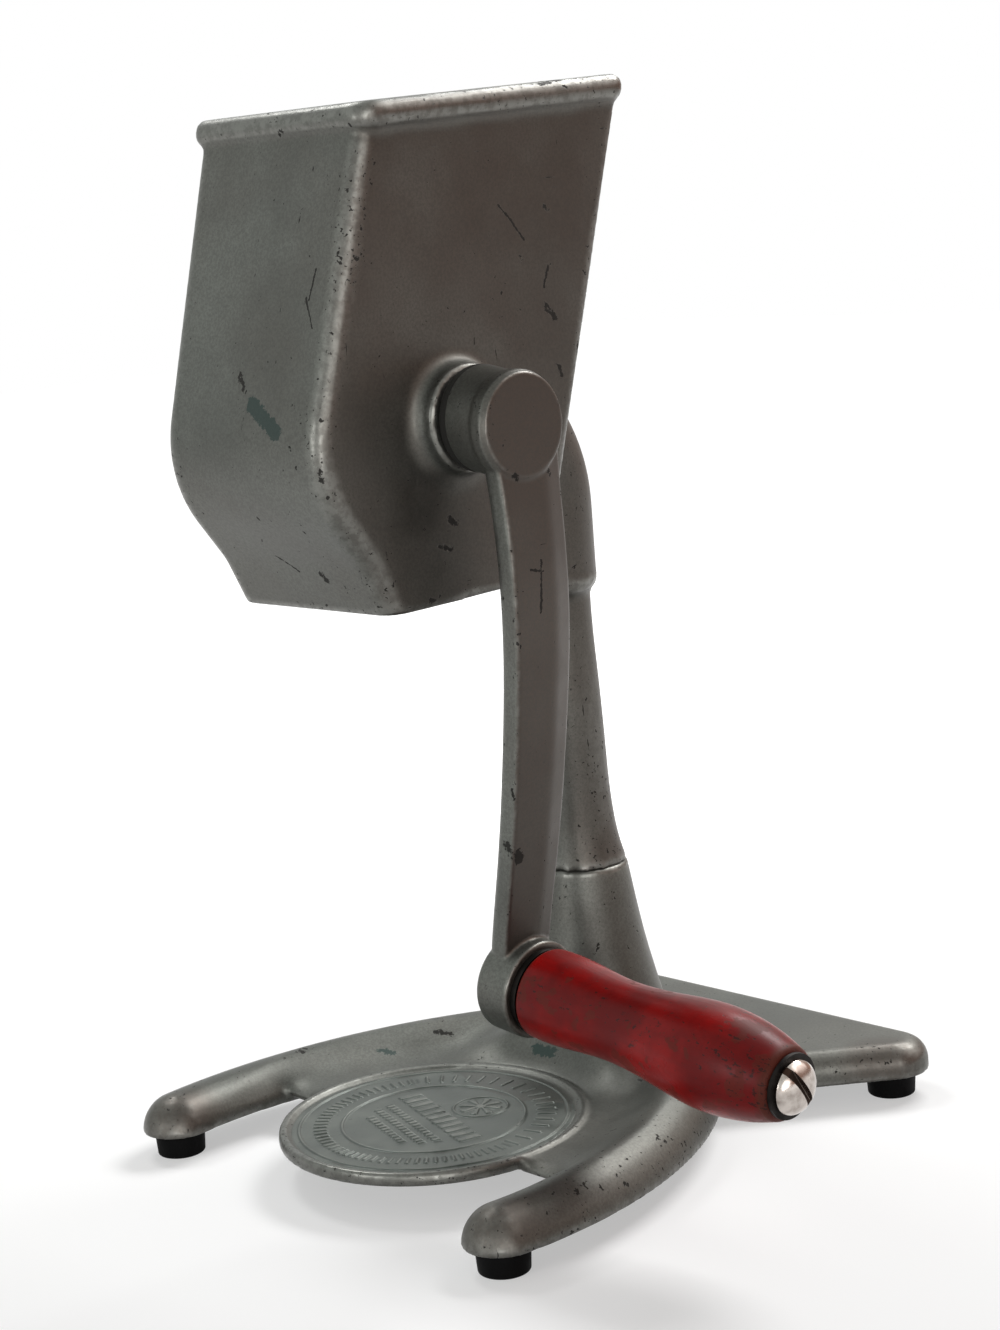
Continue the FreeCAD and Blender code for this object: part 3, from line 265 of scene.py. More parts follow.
def knock_group():
    """Mask of the places closer to the line From-To than Width, give or take some noise."""
    inputs = {"Vector": None, "From": None, "To": None, "Width": 1.0 * MM}
    tree, given, made = open_group("knock", inputs, "Mask")
    along = arrows(tree, "SUBTRACT", given["To"], given["From"])
    away = arrows(tree, "SUBTRACT", given["Vector"], given["From"])
    reached = arrows(tree, "DOT_PRODUCT", away, along, "Value")
    whole = arrows(tree, "DOT_PRODUCT", along, along, "Value")
    share = add(tree, "Math", {0: reached, 1: whole}, operation="DIVIDE", use_clamp=True).outputs[0]
    foot = add(tree, "VectorMath", {0: along, "Scale": share}, operation="SCALE").outputs[0]
    distance = arrows(tree, "DISTANCE", away, foot, "Value")
    reach = times(tree, given["Width"], SCRATCH_RAGGED)
    distance = plus(tree, distance, ragged(tree, given["Vector"], 650.0, 3.0, 0.65, reach))
    core = times(tree, given["Width"], SCRATCH_CORE)
    tree.links.new(remap(tree, distance, given["Width"], core), made)
    return tree


knock = knock_group()
print("group:", knock.name)

# %% [markdown]
# ## Cast skin
# A sand casting has a faint orange peel, and a finer grain on top. Both go into one height,
# which a Bump node then turns into a bent normal.

# %% Cast skin
GRAIN_FINER = 6.0
GRAIN_HEIGHT = 0.33


def skin_group():
    """Height of a cast skin: broad ripples, with a finer and lower grain added."""
    tree, given, made = open_group("cast_skin", {"Vector": None, "Scale": 250.0}, "Height")
    broad = noise(tree, given["Vector"], given["Scale"])
    fine = noise(tree, given["Vector"], times(tree, given["Scale"], GRAIN_FINER))
    tree.links.new(plus(tree, broad, times(tree, fine, GRAIN_HEIGHT)), made)
    return tree


cast_skin = skin_group()
print("group:", cast_skin.name)

# %% [markdown]
# ## Softening a mesh
# The base, the hopper with its pillar and the crank arm are sand castings: no edge on them is
# sharp, and where two shapes meet, the metal runs into a small hollow. Rounding is a low-pass
# filter on the mesh: each vertex moves towards the mean of its neighbours, and then back out by
# a little more, which takes off edges without shrinking the whole.

# %% Low-pass filter
FILTER_IN, FILTER_OUT = 0.55, 0.58


def read_mesh(mesh):
    """Vertices and edges of a mesh, as arrays."""
    points = np.empty(len(mesh.vertices) * 3)
    mesh.vertices.foreach_get("co", points)
    edges = np.empty(len(mesh.edges) * 2, dtype=np.int64)
    mesh.edges.foreach_get("vertices", edges)
    return points.reshape(-1, 3), edges.reshape(-1, 2)


def neighbour_mean(points, edges):
    """Mean of each vertex's neighbours: sums over the edges, divided by their count."""
    count = len(points)
    first, second = edges[:, 0], edges[:, 1]
    totals = [np.bincount(first, points[second, axis], count)
              + np.bincount(second, points[first, axis], count) for axis in range(3)]
    neighbours = np.maximum(np.bincount(edges.ravel(), minlength=count), 1)
    return np.stack(totals, axis=1) / neighbours[:, None]


def low_pass(points, edges, rounds):
    """A step towards the neighbours' mean, then a slightly longer step back, several times."""
    for step in range(rounds):
        points = points + FILTER_IN * (neighbour_mean(points, edges) - points)
        points = points - FILTER_OUT * (neighbour_mean(points, edges) - points)
    return points


# %% [markdown]
# ## Even squares
# A filter works evenly only on an even mesh, and the solids' meshes are long thin triangles. The
# Remesh modifier in voxel mode rebuilds a closed copy from squares of one size.

# %% Even squares
MERGE_WITHIN = 0.002 * MM


def squares_of(node, square):
    """A solid's mesh, merged, closed and rebuilt from squares of one size."""
    work = bmesh.new()
    work.from_mesh(nodes[node].data)
    bmesh.ops.remove_doubles(work, verts=work.verts, dist=MERGE_WITHIN)
    bmesh.ops.recalc_face_normals(work, faces=work.faces)
    rough = bpy.data.meshes.new(node + "_rough")
    work.to_mesh(rough)
    work.free()
    carrier = bpy.data.objects.new(node + "_rough", rough)
    bpy.context.scene.collection.objects.link(carrier)
    remesh = carrier.modifiers.new("squares", "REMESH")
    remesh.mode = "VOXEL"
    remesh.voxel_size = square
    seen = carrier.evaluated_get(bpy.context.evaluated_depsgraph_get())
    even = bpy.data.meshes.new_from_object(seen)
    bpy.data.objects.remove(carrier)
    return even


# %% [markdown]
# ## Saddles of the base
# Between the plate, the legs and the pillar the real casting flows like a saddle. There the copy
# gets many more rounds of plain averaging, weighted so that it fades out before the plate's rim
# and before the crests of the legs.

# %% Saddle weights
SADDLE_INNER = (53.2 * MM, 55.5 * MM)
SADDLE_OUTER = (71.0 * MM, 80.0 * MM)
SADDLE_LOW = (13.0 * MM, 15.0 * MM)
SADDLE_HIGH = (48.0 * MM, 62.0 * MM)
SADDLE_ROUNDS = 170


def smooth_step(value, low, high):
    """0 below `low`, 1 above `high`, and a smooth rise between them."""
    share = np.clip((value - low) / (high - low), 0.0, 1.0)
    return share * share * (3.0 - 2.0 * share)


def saddle_weight(points):
    """1 in a band around the plate, above its web and below the pillar's seam; 0 elsewhere."""
    reach = np.hypot(points[:, 0] - plate_axis.x, points[:, 1] - plate_axis.y)
    inside = smooth_step(reach, *SADDLE_INNER) * (1.0 - smooth_step(reach, *SADDLE_OUTER))
    rise = points[:, 2]
    return inside * (smooth_step(rise, *SADDLE_LOW) * (1.0 - smooth_step(rise, *SADDLE_HIGH)))


def fill_saddle(points, edges):
    """Plain averaging of the weighted vertices, many times, over the edges that touch them."""
    share = 0.5 * saddle_weight(points)[:, None]
    touched = edges[(share.ravel() > 0)[edges].any(axis=1)]
    for step in range(SADDLE_ROUNDS):
        points = points + share * (neighbour_mean(points, touched) - points)
    return points


# %% [markdown]
# ## Knocks and scars
# The photographed crusher has marks of its own: a green scar low on the front, spots on the side
# and the arm, darker patches on the saddle. Each is a short line, given by its two ends and a half
# width in millimetres, and every vertex keeps its distance beyond the nearest one. The finish
# draws the outline.

# %% Distance to marks
NO_MARK = 10.0
SPOTS = (
    ((-18.2, -84.8, 208.2), (-17.1, -83.9, 206.2), 1.2),
    ((-33.3, -97.4, 271.3), (-29.6, -98.9, 266.2), 0.9),
    ((6.1, -101.1, 243.3), (6.1, -100.7, 240.3), 0.8),
    ((9.3, -15.8, 299.5), (9.3, -15.0, 298.9), 0.8),
    ((9.6, -3.5, 315.3), (9.6, -2.7, 314.0), 0.8),
    ((9.0, -6.1, 284.0), (8.9, -1.5, 279.5), 0.9),
    ((8.4, 8.0, 270.1), (8.4, 9.5, 262.0), 0.9),
    ((8.6, -1.8, 264.3), (8.5, -0.3, 261.5), 0.9),
    ((7.7, -52.6, 221.6), (7.7, -49.4, 219.9), 0.9),
    ((7.6, -57.5, 214.4), (7.5, -52.6, 212.1), 0.8),
    ((38.7, -52.7, 236.4), (38.5, -51.3, 235.3), 0.8),
    ((20.9, -50.5, 118.5), (22.3, -47.8, 113.7), 1.9),
    ((-84.6, 2.7, 21.3), (-79.7, 6.1, 20.5), 1.1),
    ((-110.1, -40.6, 22.0), (-108.2, -40.8, 21.6), 0.9),
    ((10.8, 10.5, 20.3), (14.4, 8.6, 22.2), 0.9),
    ((11.7, -4.0, 352.5), (10.0, 4.9, 353.7), 1.0),
    ((37.5, -37.7, 236.0), (37.3, -36.7, 234.6), 0.8),
)
SCARS = (
    ((-25.3, -100.0, 262.4), (-12.1, -102.1, 254.5), 2.6),
    ((-92.4, -17.9, 18.8), (-88.5, -15.6, 17.8), 1.2),
    ((-58.0, 12.0, 19.5), (-50.0, 13.0, 20.0), 2.4),
    ((-40.0, 11.0, 21.0), (-32.0, 10.0, 22.0), 2.0),
)


def gap_to(points, table):
    """Distance of each vertex to the nearest mark's line, less its half width, in millimetres."""
    gap = np.full(len(points), NO_MARK)
    for start, end, half_width in table:
        start, along = np.array(start) * MM, (np.array(end) - np.array(start)) * MM
        share = np.clip((points - start) @ along / (along @ along), 0.0, 1.0)
        distance = np.linalg.norm(points - start - share[:, None] * along, axis=1)
        gap = np.minimum(gap, distance / MM - half_width)
    return gap


def keep_numbers(mesh, name, values):
    """One number for every vertex, kept as a named attribute for the finish."""
    attribute = mesh.attributes.new(name, "FLOAT", "POINT")
    attribute.data.foreach_set("value", values.astype(np.float32))


# %% [markdown]
# ## Soft castings
# Each casting's copy is softened, and also keeps a number for every vertex: how far it stands
# out from a much smoother version of itself. It is high along edges, where the finish wears and
# where a highlight is painted.

# %% Soft castings
RIDGE_ROUNDS = 12
RIDGE_STEP = 0.5


def cast_copy(node, piece_name, body, square, rounds, fill=None):
    """The softened copy of one casting, with its ridge numbers, riding on its body."""
    even = squares_of(node, square)
    points, edges = read_mesh(even)
    points = low_pass(points, edges, rounds)
    if fill:
        points = fill(points, edges)
    broad = points
    for step in range(RIDGE_ROUNDS):
        broad = broad + RIDGE_STEP * (neighbour_mean(broad, edges) - broad)
    even.vertices.foreach_set("co", points.ravel())
    even.update()
    normals = np.empty(len(points) * 3)
    even.vertices.foreach_get("normal", normals)
    ridge = np.sum((points - broad) * normals.reshape(-1, 3), axis=1) / MM
    keep_numbers(even, "ridge", ridge)
    keep_numbers(even, "spot_gap", gap_to(points, SPOTS))
    keep_numbers(even, "scar_gap", gap_to(points, SCARS))
    even.polygons.foreach_set("use_smooth", np.ones(len(even.polygons), dtype=bool))
    even.materials.clear()
    piece = bpy.data.objects.new(piece_name, even)
    bpy.context.scene.collection.objects.link(piece)
    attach(piece, body)
    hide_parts(node)
    print(piece_name, "squares:", len(even.polygons), "ridge to", round(ridge.max(), 2), "mm")
    return piece


castings = [
    cast_copy("base_casting", "base_cast", "stand", 1.15 * MM, 3, fill_saddle),
    cast_copy("hopper_casting", "hopper_cast", "stand", 1.36 * MM, 3),
    cast_copy("crank_arm", "arm_cast", "crank", 0.62 * MM, 4),
]

# %% [markdown]
# ## Raised pattern of the plate
# The floor of the glass plate is cast with a low raised pattern between two fine rings: a band
# of short strokes, a round rosette at the back and rows of bars across the middle. It is one
# height over the disc. The disc itself is a square grid drawn round, so that no squares crowd
# together in its middle: a point's larger coordinate gives the radius, and the other one the
# share of a quarter turn.

# %% Disc from a square grid
def disc_grid(count, radius):
    """Points of a square grid carried onto a disc, and their radius and angle."""
    line = np.linspace(-1.0, 1.0, count)
    u, v = np.meshgrid(line, line)
    wide = np.abs(u) >= np.abs(v)
    reach = np.where(wide, u, v)
    other = np.where(wide, v, u)
    share = np.divide(other, reach, out=np.zeros_like(reach), where=reach != 0)
    turn = np.where(wide, share * math.pi / 4, math.pi / 2 - share * math.pi / 4)
    x, y = radius * reach * np.cos(turn), radius * reach * np.sin(turn)
    return x, y, np.hypot(x, y), np.arctan2(y, x)


def grid_mesh(name, points):
    """A mesh from a grid of points, rows by columns by three, with a square for every cell."""
    rows, columns = points.shape[:2]
    index = np.arange(rows * columns).reshape(rows, columns)
    faces = np.stack([index[:-1, :-1], index[:-1, 1:], index[1:, 1:], index[1:, :-1]], axis=-1)
    mesh = bpy.data.meshes.new(name)
    mesh.from_pydata(points.reshape(-1, 3).tolist(), [], faces.reshape(-1, 4).tolist())
    mesh.polygons.foreach_set("use_smooth", np.ones(len(mesh.polygons), dtype=bool))
    mesh.update()
    return mesh


# %% [markdown]
# The pattern's parts are soft bumps. A bump is a value that falls smoothly from 1 to 0 as
# a distance passes a half width, and the parts are joined by taking the highest at each point.

# %% Pattern height
PLATE_FLOOR = 15.2 * MM
FACE_RADIUS = 49.0 * MM
RING_RADII = (45.5 * MM, 31.0 * MM)
RING_HALF_WIDTH = 0.45 * MM
SOFT_EDGE = 0.35 * MM
STROKE_RADIUS = 38.3 * MM
STROKE_HALF_WIDTH = 0.55 * MM
BAR_SHARE = 0.28
BAR_ROWS = ((2.0, 26.0, 4.2, 4.8), (-7.5, 21.0, 1.5, 2.7), (-12.5, 19.0, 1.5, 2.7),
            (-17.5, 14.0, 1.5, 2.7))
ROSETTE_MIDDLE = 17.5 * MM
ROSETTE_RIM, ROSETTE_RIM_HALF_WIDTH = 9.3 * MM, 0.4 * MM
PETALS, PETAL_REACH, ROSETTE_HUB = 8, 7.4 * MM, 1.6 * MM
PETAL_EDGE = (-0.2, 0.5)
LOWER_PART = (-0.35, -0.15)


def bump_at(distance, half_width):
    """1 inside a half width, falling to 0 over a soft edge."""
    return 1.0 - smooth_step(distance, half_width - SOFT_EDGE, half_width + SOFT_EDGE)


def strokes(radius, turn, half_height, count, wave):
    """A ring of short radial strokes: a comb of angles, pushed to and fro, in a band of radii."""
    pitch = 2 * math.pi / count
    offset = (turn + wave * np.sin(5 * turn)) % pitch - pitch / 2
    along = np.abs(offset) * radius
    return bump_at(along, STROKE_HALF_WIDTH) * bump_at(np.abs(radius - STROKE_RADIUS), half_height)


def bars(x, y, middle, half_length, half_height, pitch):
    """A row of upright bars, one pitch apart, within a half length and a half height."""
    offset = np.abs((x + pitch / 2) % pitch - pitch / 2)
    return (bump_at(offset, BAR_SHARE * pitch) * bump_at(np.abs(y - middle), half_height)
            * bump_at(np.abs(x), half_length))


def pattern_height(x, y, radius, turn):
    """Highest of the rings, strokes, bars and rosette at each point, from 0 to 1."""
    parts = [bump_at(np.abs(radius - ring), RING_HALF_WIDTH) for ring in RING_RADII]
    lower = smooth_step(-np.sin(turn), *LOWER_PART)
    parts.append(strokes(radius, turn, 2.4 * MM, 84, 0.012) * lower)
    parts.append(strokes(radius, turn, 3.2 * MM, 46, 0.02) * (1.0 - lower))
    for row in BAR_ROWS:
        parts.append(bars(x, y, *(length * MM for length in row)))
    rosette = np.hypot(x, y - ROSETTE_MIDDLE)
    petal = np.cos(PETALS * np.arctan2(y - ROSETTE_MIDDLE, x))
    parts.append(bump_at(np.abs(rosette - ROSETTE_RIM), ROSETTE_RIM_HALF_WIDTH))
    parts.append(bump_at(rosette, PETAL_REACH) * smooth_step(petal, *PETAL_EDGE))
    parts.append(bump_at(rosette, ROSETTE_HUB))
    return np.max(parts, axis=0)


# %% [markdown]
# The turned pattern faces the front right, as on the real plate. Its piece is a thin skin just
# above the casting's floor, and its edge dips into the floor so that no gap shows.

# %% Plate face
PATTERN_TURN = math.radians(-18.0)
PATTERN_RISE = 0.55 * MM
FACE_LIFT = 0.25 * MM
FACE_EDGE, FACE_EDGE_DIP = 1.2 * MM, 0.9 * MM
FACE_COUNT = 281
RIPPLE_HEIGHT, RIPPLE_ACROSS, RIPPLE_DEEP = 0.06 * MM, 4.1 * MM, 3.3 * MM

x, y, radius, turn = disc_grid(FACE_COUNT, FACE_RADIUS)
across = x * math.cos(PATTERN_TURN) + y * math.sin(PATTERN_TURN)
deep = y * math.cos(PATTERN_TURN) - x * math.sin(PATTERN_TURN)
relief = pattern_height(across, deep, radius, np.arctan2(deep, across))
ripple = RIPPLE_HEIGHT * np.sin(across / RIPPLE_ACROSS) * np.cos(deep / RIPPLE_DEEP)
dip = smooth_step(radius, FACE_RADIUS - FACE_EDGE, FACE_RADIUS)
height = (PLATE_FLOOR + FACE_LIFT + PATTERN_RISE * relief + ripple * (1.0 - dip)
          - FACE_EDGE_DIP * dip)
face_points = np.stack([x + plate_axis.x, y + plate_axis.y, height], axis=-1)
face_mesh = grid_mesh("plate_face", face_points)
keep_numbers(face_mesh, "relief", relief.ravel())
plate_face = bpy.data.objects.new("plate_face", face_mesh)
bpy.context.scene.collection.objects.link(plate_face)
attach(plate_face, "stand")
print("plate face squares:", len(face_mesh.polygons), "up to", round(height.max() / MM, 2), "mm")

# %% [markdown]
# ## Cast metal finish
# The castings are aged aluminium, dulled to pewter. The finish is mostly metallic, so it takes
# its light and dark from what it reflects. Broad clouds vary its tone and roughness, a fine
# mottle breaks it up, edges are painted a little brighter, partly as wear and partly as a painted
# highlight, and dark chips crowd beside them.

# %% Cast metal
def new_material(name):
    """An empty material with a Principled shader on its output."""
    material = bpy.data.materials.new(name)
    material.use_nodes = True
    material.node_tree.nodes.clear()
    shader = add(material.node_tree, "BsdfPrincipled")
    add(material.node_tree, "OutputMaterial", {"Surface": shader.outputs[0]})
    return material, material.node_tree, shader


def object_place(tree):
    """Object coordinates, which are metres in the model's frame."""
    return add(tree, "TexCoord").outputs["Object"]


def turned(tree, place, angles, stretch):
    """A place turned and stretched, so that spots on it become short strokes."""
    return add(tree, "Mapping", {"Vector": place, "Rotation": angles, "Scale": stretch}).outputs[0]


def dress(tree, shader, colour, rough, height, strength, depth):
    """Colour and roughness linked to a shader, and a height that bends its normal."""
    tree.links.new(colour, shader.inputs["Base Color"])
    tree.links.new(rough, shader.inputs["Roughness"])
    bump = add(tree, "Bump", {"Height": height, "Strength": strength, "Distance": depth})
    tree.links.new(bump.outputs[0], shader.inputs["Normal"])


PEWTER = (0.066, 0.068, 0.061, 1.0)
PEWTER_PALE = (0.098, 0.102, 0.092, 1.0)
PEWTER_BROWN = (0.060, 0.048, 0.040, 1.0)
MOTTLE_DARK = (0.042, 0.041, 0.037, 1.0)
PALE_WEAR_AND_HIGHLIGHT = (0.20, 0.20, 0.185, 1.0)
CHIP_AND_SHADE_DARK = (0.010, 0.009, 0.008, 1.0)
SCAR_GREEN = (0.016, 0.030, 0.027, 1.0)
CAST_METALLIC = 0.78

# %% [markdown]
# The chips come in four kinds: two sizes of round ones, which crowd along edges, and short
# strokes that lie in two directions. The scratches are listed by their ends and half widths,
# in millimetres, as the marks above are.

# %% Chips and scratches of the castings
ROUND_CHIPS = ((620.0, 0.725), (240.0, 0.745))
STROKE_CHIPS = (((0.3, 0.5, 0.2), (1.0, 1.0, 0.16), 420.0, 0.735),
                ((1.0, 0.2, 1.1), (1.0, 0.12, 1.0), 520.0, 0.745))
STROKE_SWARM = 0.05
MARK_RAGGED = 5.0
MARK_FADE = (0.2, -0.2)
HOPPER_SCRATCHES = (
    ((-2.9, -88.6, 301.6), (-4.3, -91.1, 292.9), 0.45),
    ((-5.9, -90.9, 293.5), (-1.1, -93.5, 284.7), 0.4),
    ((-35.8, -88.0, 213.5), (-28.5, -84.9, 208.3), 0.4),
    ((9.6, -23.9, 316.4), (9.5, -18.7, 311.2), 0.45),
    ((9.5, -18.7, 311.2), (9.4, -13.6, 305.0), 0.4),
    ((9.2, -3.7, 296.2), (9.1, -6.0, 290.0), 0.5),
)
ARM_SCRATCHES = (
    ((38.2, -48.6, 206.8), (38.2, -43.5, 205.7), 0.45),
    ((38.3, -44.1, 209.2), (37.4, -44.9, 193.2), 0.5),
    ((26.4, -52.5, 137.5), (26.6, -52.2, 134.2), 0.6),
)


def chip_masks(tree, place, crowding):
    """Round chips, large and small, and short strokes in two directions, as one mask."""
    masks = [use(tree, chips, {"Vector": place, "Scale": scale, "Limit": limit,
                               "Crowding": crowding}) for scale, limit in ROUND_CHIPS]
    for angles, stretch, scale, limit in STROKE_CHIPS:
        masks.append(use(tree, chips, {"Vector": turned(tree, place, angles, stretch),
                                       "Scale": scale, "Limit": limit, "Swarm": STROKE_SWARM}))
    return highest(tree, *masks)


def near_marks(tree, place, name):
    """Mask where an attribute's distance, made ragged by noise, falls below zero."""
    gap = add(tree, "Attribute", attribute_name=name).outputs["Fac"]
    gap = plus(tree, gap, ragged(tree, place, 600.0, 4.0, 0.7, MARK_RAGGED))
    return remap(tree, gap, *MARK_FADE)


# %% [markdown]
# The colour is built in layers, each mixed over the last by its own mask: clouds, brown stains,
# a painted warm light on faces turned to the crank's side, browner leg tips, mottle, edges painted
# pale partly as wear and partly as a painted highlight, green scars, and dark chips that also
# carry the painted shade beside the hub.

# %% Colour of the castings
BROWNER_TIPS = ((54.0, -99.0, 20.0), (-105.0, -100.0, 16.0), (59.0, 81.0, 16.0))
TIP_REACH, TIP_CORE, TIP_SHARE = 24.0 * MM, 6.0 * MM, 0.8
WARM_LIT_FACING = (0.2, 0.9)
MOTTLE_RANGE = (0.36, 0.64)
STAIN_SHARE, MOTTLE_SHARE, EDGE_WEAR_AND_HIGHLIGHT_SHARE, SCAR_SHARE, CHIP_AND_SHADE_SHARE = 0.3, 0.45, 0.5, 0.85, 0.88


def brown_stain_and_warmth(tree, place, painted_warmth):
    """How brown it is here: stains, a painted warm light on faces turned to the crank's side, and browner leg
    tips.
    """
    stain = use(tree, tone_clouds, {"Vector": place, "Scale": 11.0, "Spread": 0.12})
    facing = add(tree, "SeparateXYZ", {0: add(tree, "TexCoord").outputs["Normal"]}).outputs[0]
    # Painted warm light: faces turned towards +X, the crank's side, are tinted brown, standing in for warm light
    # from that side.
    painted_warm_side = remap(tree, facing, *WARM_LIT_FACING, 0.0, painted_warmth)
    share = plus(tree, times(tree, stain, STAIN_SHARE), painted_warm_side)
    for tip in BROWNER_TIPS:
        away = arrows(tree, "DISTANCE", place, Vector(tip) * MM, "Value")
        share = highest(tree, share, remap(tree, away, TIP_REACH, TIP_CORE, 0.0, TIP_SHARE))
    return share


def cast_colour(tree, place, worn_highlit_edge, dark_marks, bright, painted_warmth):
    """Clouds from pewter to pale, brown stains and painted warm light, mottle, edges painted pale as wear and
    highlight, scars, dark chips and painted shade.
    """
    clouds = use(tree, tone_clouds, {"Vector": place, "Scale": 24.0, "Spread": 0.2})
    mottle = noise(tree, place, 1100.0, 3.0, 0.75)
    tones = [tuple(bright * part for part in tone[:3]) + (1.0,) for tone in (PEWTER, PEWTER_PALE)]
    colour = blend(tree, clouds, *tones)
    colour = blend(tree, brown_stain_and_warmth(tree, place, painted_warmth), colour, PEWTER_BROWN)
    mottle = remap(tree, mottle, *MOTTLE_RANGE, 0.0, MOTTLE_SHARE)
    colour = blend(tree, mottle, colour, MOTTLE_DARK)
    # Painted highlight: convex edges are mixed towards a pale tone, partly wear and partly the highlight a rounded
    # corner catches.
    colour = blend(tree, times(tree, worn_highlit_edge, EDGE_WEAR_AND_HIGHLIGHT_SHARE), colour, PALE_WEAR_AND_HIGHLIGHT)
    scarred = times(tree, near_marks(tree, place, "scar_gap"), SCAR_SHARE)
    colour = blend(tree, scarred, colour, SCAR_GREEN)
    return blend(tree, times(tree, dark_marks, CHIP_AND_SHADE_SHARE), colour, CHIP_AND_SHADE_DARK), clouds


# %% [markdown]
# Where the hub runs beside the hopper's boss, painted shade makes the gap and the first
# millimetres of the hub black. Two limits along the shaft and one around it mark that place.

# %% Painted shade beside the hub
GAP_SHADE_START, GAP_SHADE_END, GAP_SHADE_FADE = 15.8 * MM, 21.3 * MM, 0.3 * MM
GAP_SHADE_REACH, GAP_SHADE_CORE = 19.5 * MM, 18.8 * MM


def painted_gap_shade(tree, place):
    """Mask of painted shade: a short cylinder around the shaft, between the boss and the hub's inner end."""
    from_shaft = arrows(tree, "SUBTRACT", place, shaft_at)
    right_of = add(tree, "SeparateXYZ", {0: place}).outputs[0]
    away = arrows(tree, "LENGTH", arrows(tree, "MULTIPLY", from_shaft, (0, 1, 1)), output="Value")
    near = remap(tree, away, GAP_SHADE_REACH, GAP_SHADE_CORE)
    beside = times(tree, remap(tree, right_of, GAP_SHADE_START, GAP_SHADE_START + GAP_SHADE_FADE),
                   remap(tree, right_of, GAP_SHADE_END + GAP_SHADE_FADE, GAP_SHADE_END))
    return times(tree, near, beside)


# %% [markdown]
# The whole finish reads the ridge number of each vertex: edges are painted paler, partly as wear
# and partly as a painted highlight, and are smoother, chips crowd beside them, and every chip,
# spot and scratch, and the painted shade beside the hub, is also rougher and a dent in the skin.

# %% Finish of a casting
RIDGE_WEAR_AND_HIGHLIGHT = (0.08, 0.40)
RIDGE_CHIPPED = (0.02, 0.12)
EDGE_CROWDING = 0.055
PALE_EDGE_BROKEN, PALE_EDGE_SHARES = (0.38, 0.60), (0.4, 1.0)
CAST_ROUGH = (0.40, 0.49)
EDGE_SMOOTHER, CHIP_ROUGHER = 0.12, 0.3
SKIN_SHARE = 0.4


def cast_metal(name, bright, painted_warmth, scratches=()):
    """Dulled cast aluminium with chipped edges painted paler, partly as wear and partly as a highlight."""
    material, tree, shader = new_material(name)
    place = object_place(tree)
    ridge = add(tree, "Attribute", attribute_name="ridge").outputs["Fac"]
    broken = remap(tree, noise(tree, place, 340.0, 3.0, 0.65), *PALE_EDGE_BROKEN, *PALE_EDGE_SHARES)
    worn_highlit_edge = times(tree, remap(tree, ridge, *RIDGE_WEAR_AND_HIGHLIGHT), broken)
    near_edge = remap(tree, ridge, *RIDGE_CHIPPED, 0.0, EDGE_CROWDING)
    masks = [chip_masks(tree, place, near_edge), near_marks(tree, place, "spot_gap")]
    for start, end, width in scratches:
        masks.append(use(tree, knock, {"Vector": place, "From": Vector(start) * MM,
                                       "To": Vector(end) * MM, "Width": width * MM}))
    # The painted shade beside the hub joins the chips here and takes their dark colour.
    dark_marks = highest(tree, *masks, painted_gap_shade(tree, place))
    colour, clouds = cast_colour(tree, place, worn_highlit_edge, dark_marks, bright, painted_warmth)
    rough = remap(tree, clouds, 0.0, 1.0, *CAST_ROUGH)
    rough = minus(tree, rough, times(tree, worn_highlit_edge, EDGE_SMOOTHER))
    rough = plus(tree, rough, times(tree, dark_marks, CHIP_ROUGHER))
    shader.inputs["Metallic"].default_value = CAST_METALLIC
    skin = use(tree, cast_skin, {"Vector": place, "Scale": 300.0})
    dents = minus(tree, times(tree, skin, SKIN_SHARE), dark_marks)
    dress(tree, shader, colour, rough, dents, 0.4, 0.2 * MM)
    return material


# %% [markdown]
# Each casting gets its own brightness and its own share of painted warm light on the faces turned
# to the crank's side: the arm has the most, the base none, so its only brown is its stains.

# %% Finishes of the castings
coat = cast_metal("base_pewter", 1.18, 0.0)
hopper_coat = cast_metal("hopper_pewter", 1.2, 0.5, HOPPER_SCRATCHES)
arm_coat = cast_metal("arm_pewter", 1.25, 0.9, ARM_SCRATCHES)
for piece, finish in zip(castings, (coat, hopper_coat, arm_coat)):
    piece.data.materials.append(finish)
    print(piece.name, "wears", finish.name)

# %% [markdown]
# ## Finish of the plate's face
# The plate was washed and wiped for decades. Its raised pattern is rubbed bright on top, and
# the ground around it holds a darker, slightly green film, most of all close to the strokes.

# %% Plate finish
FILM = (0.040, 0.048, 0.043, 1.0)
GROUND = (0.110, 0.119, 0.109, 1.0)
GROUND_DARK = (0.070, 0.078, 0.071, 1.0)
PLATE_ROUGH = (0.40, 0.52)
FOOT_RISE, FOOT_FALL, TOP_RISE = (0.0, 0.35), (0.9, 0.6), (0.75, 1.0)
FILM_SHARE, TOP_SHARE, TOP_LEAST, PLATE_CHIP_SHARE = 0.75, 0.45, 0.25, 0.7
PLATE_CROWDING = 0.02


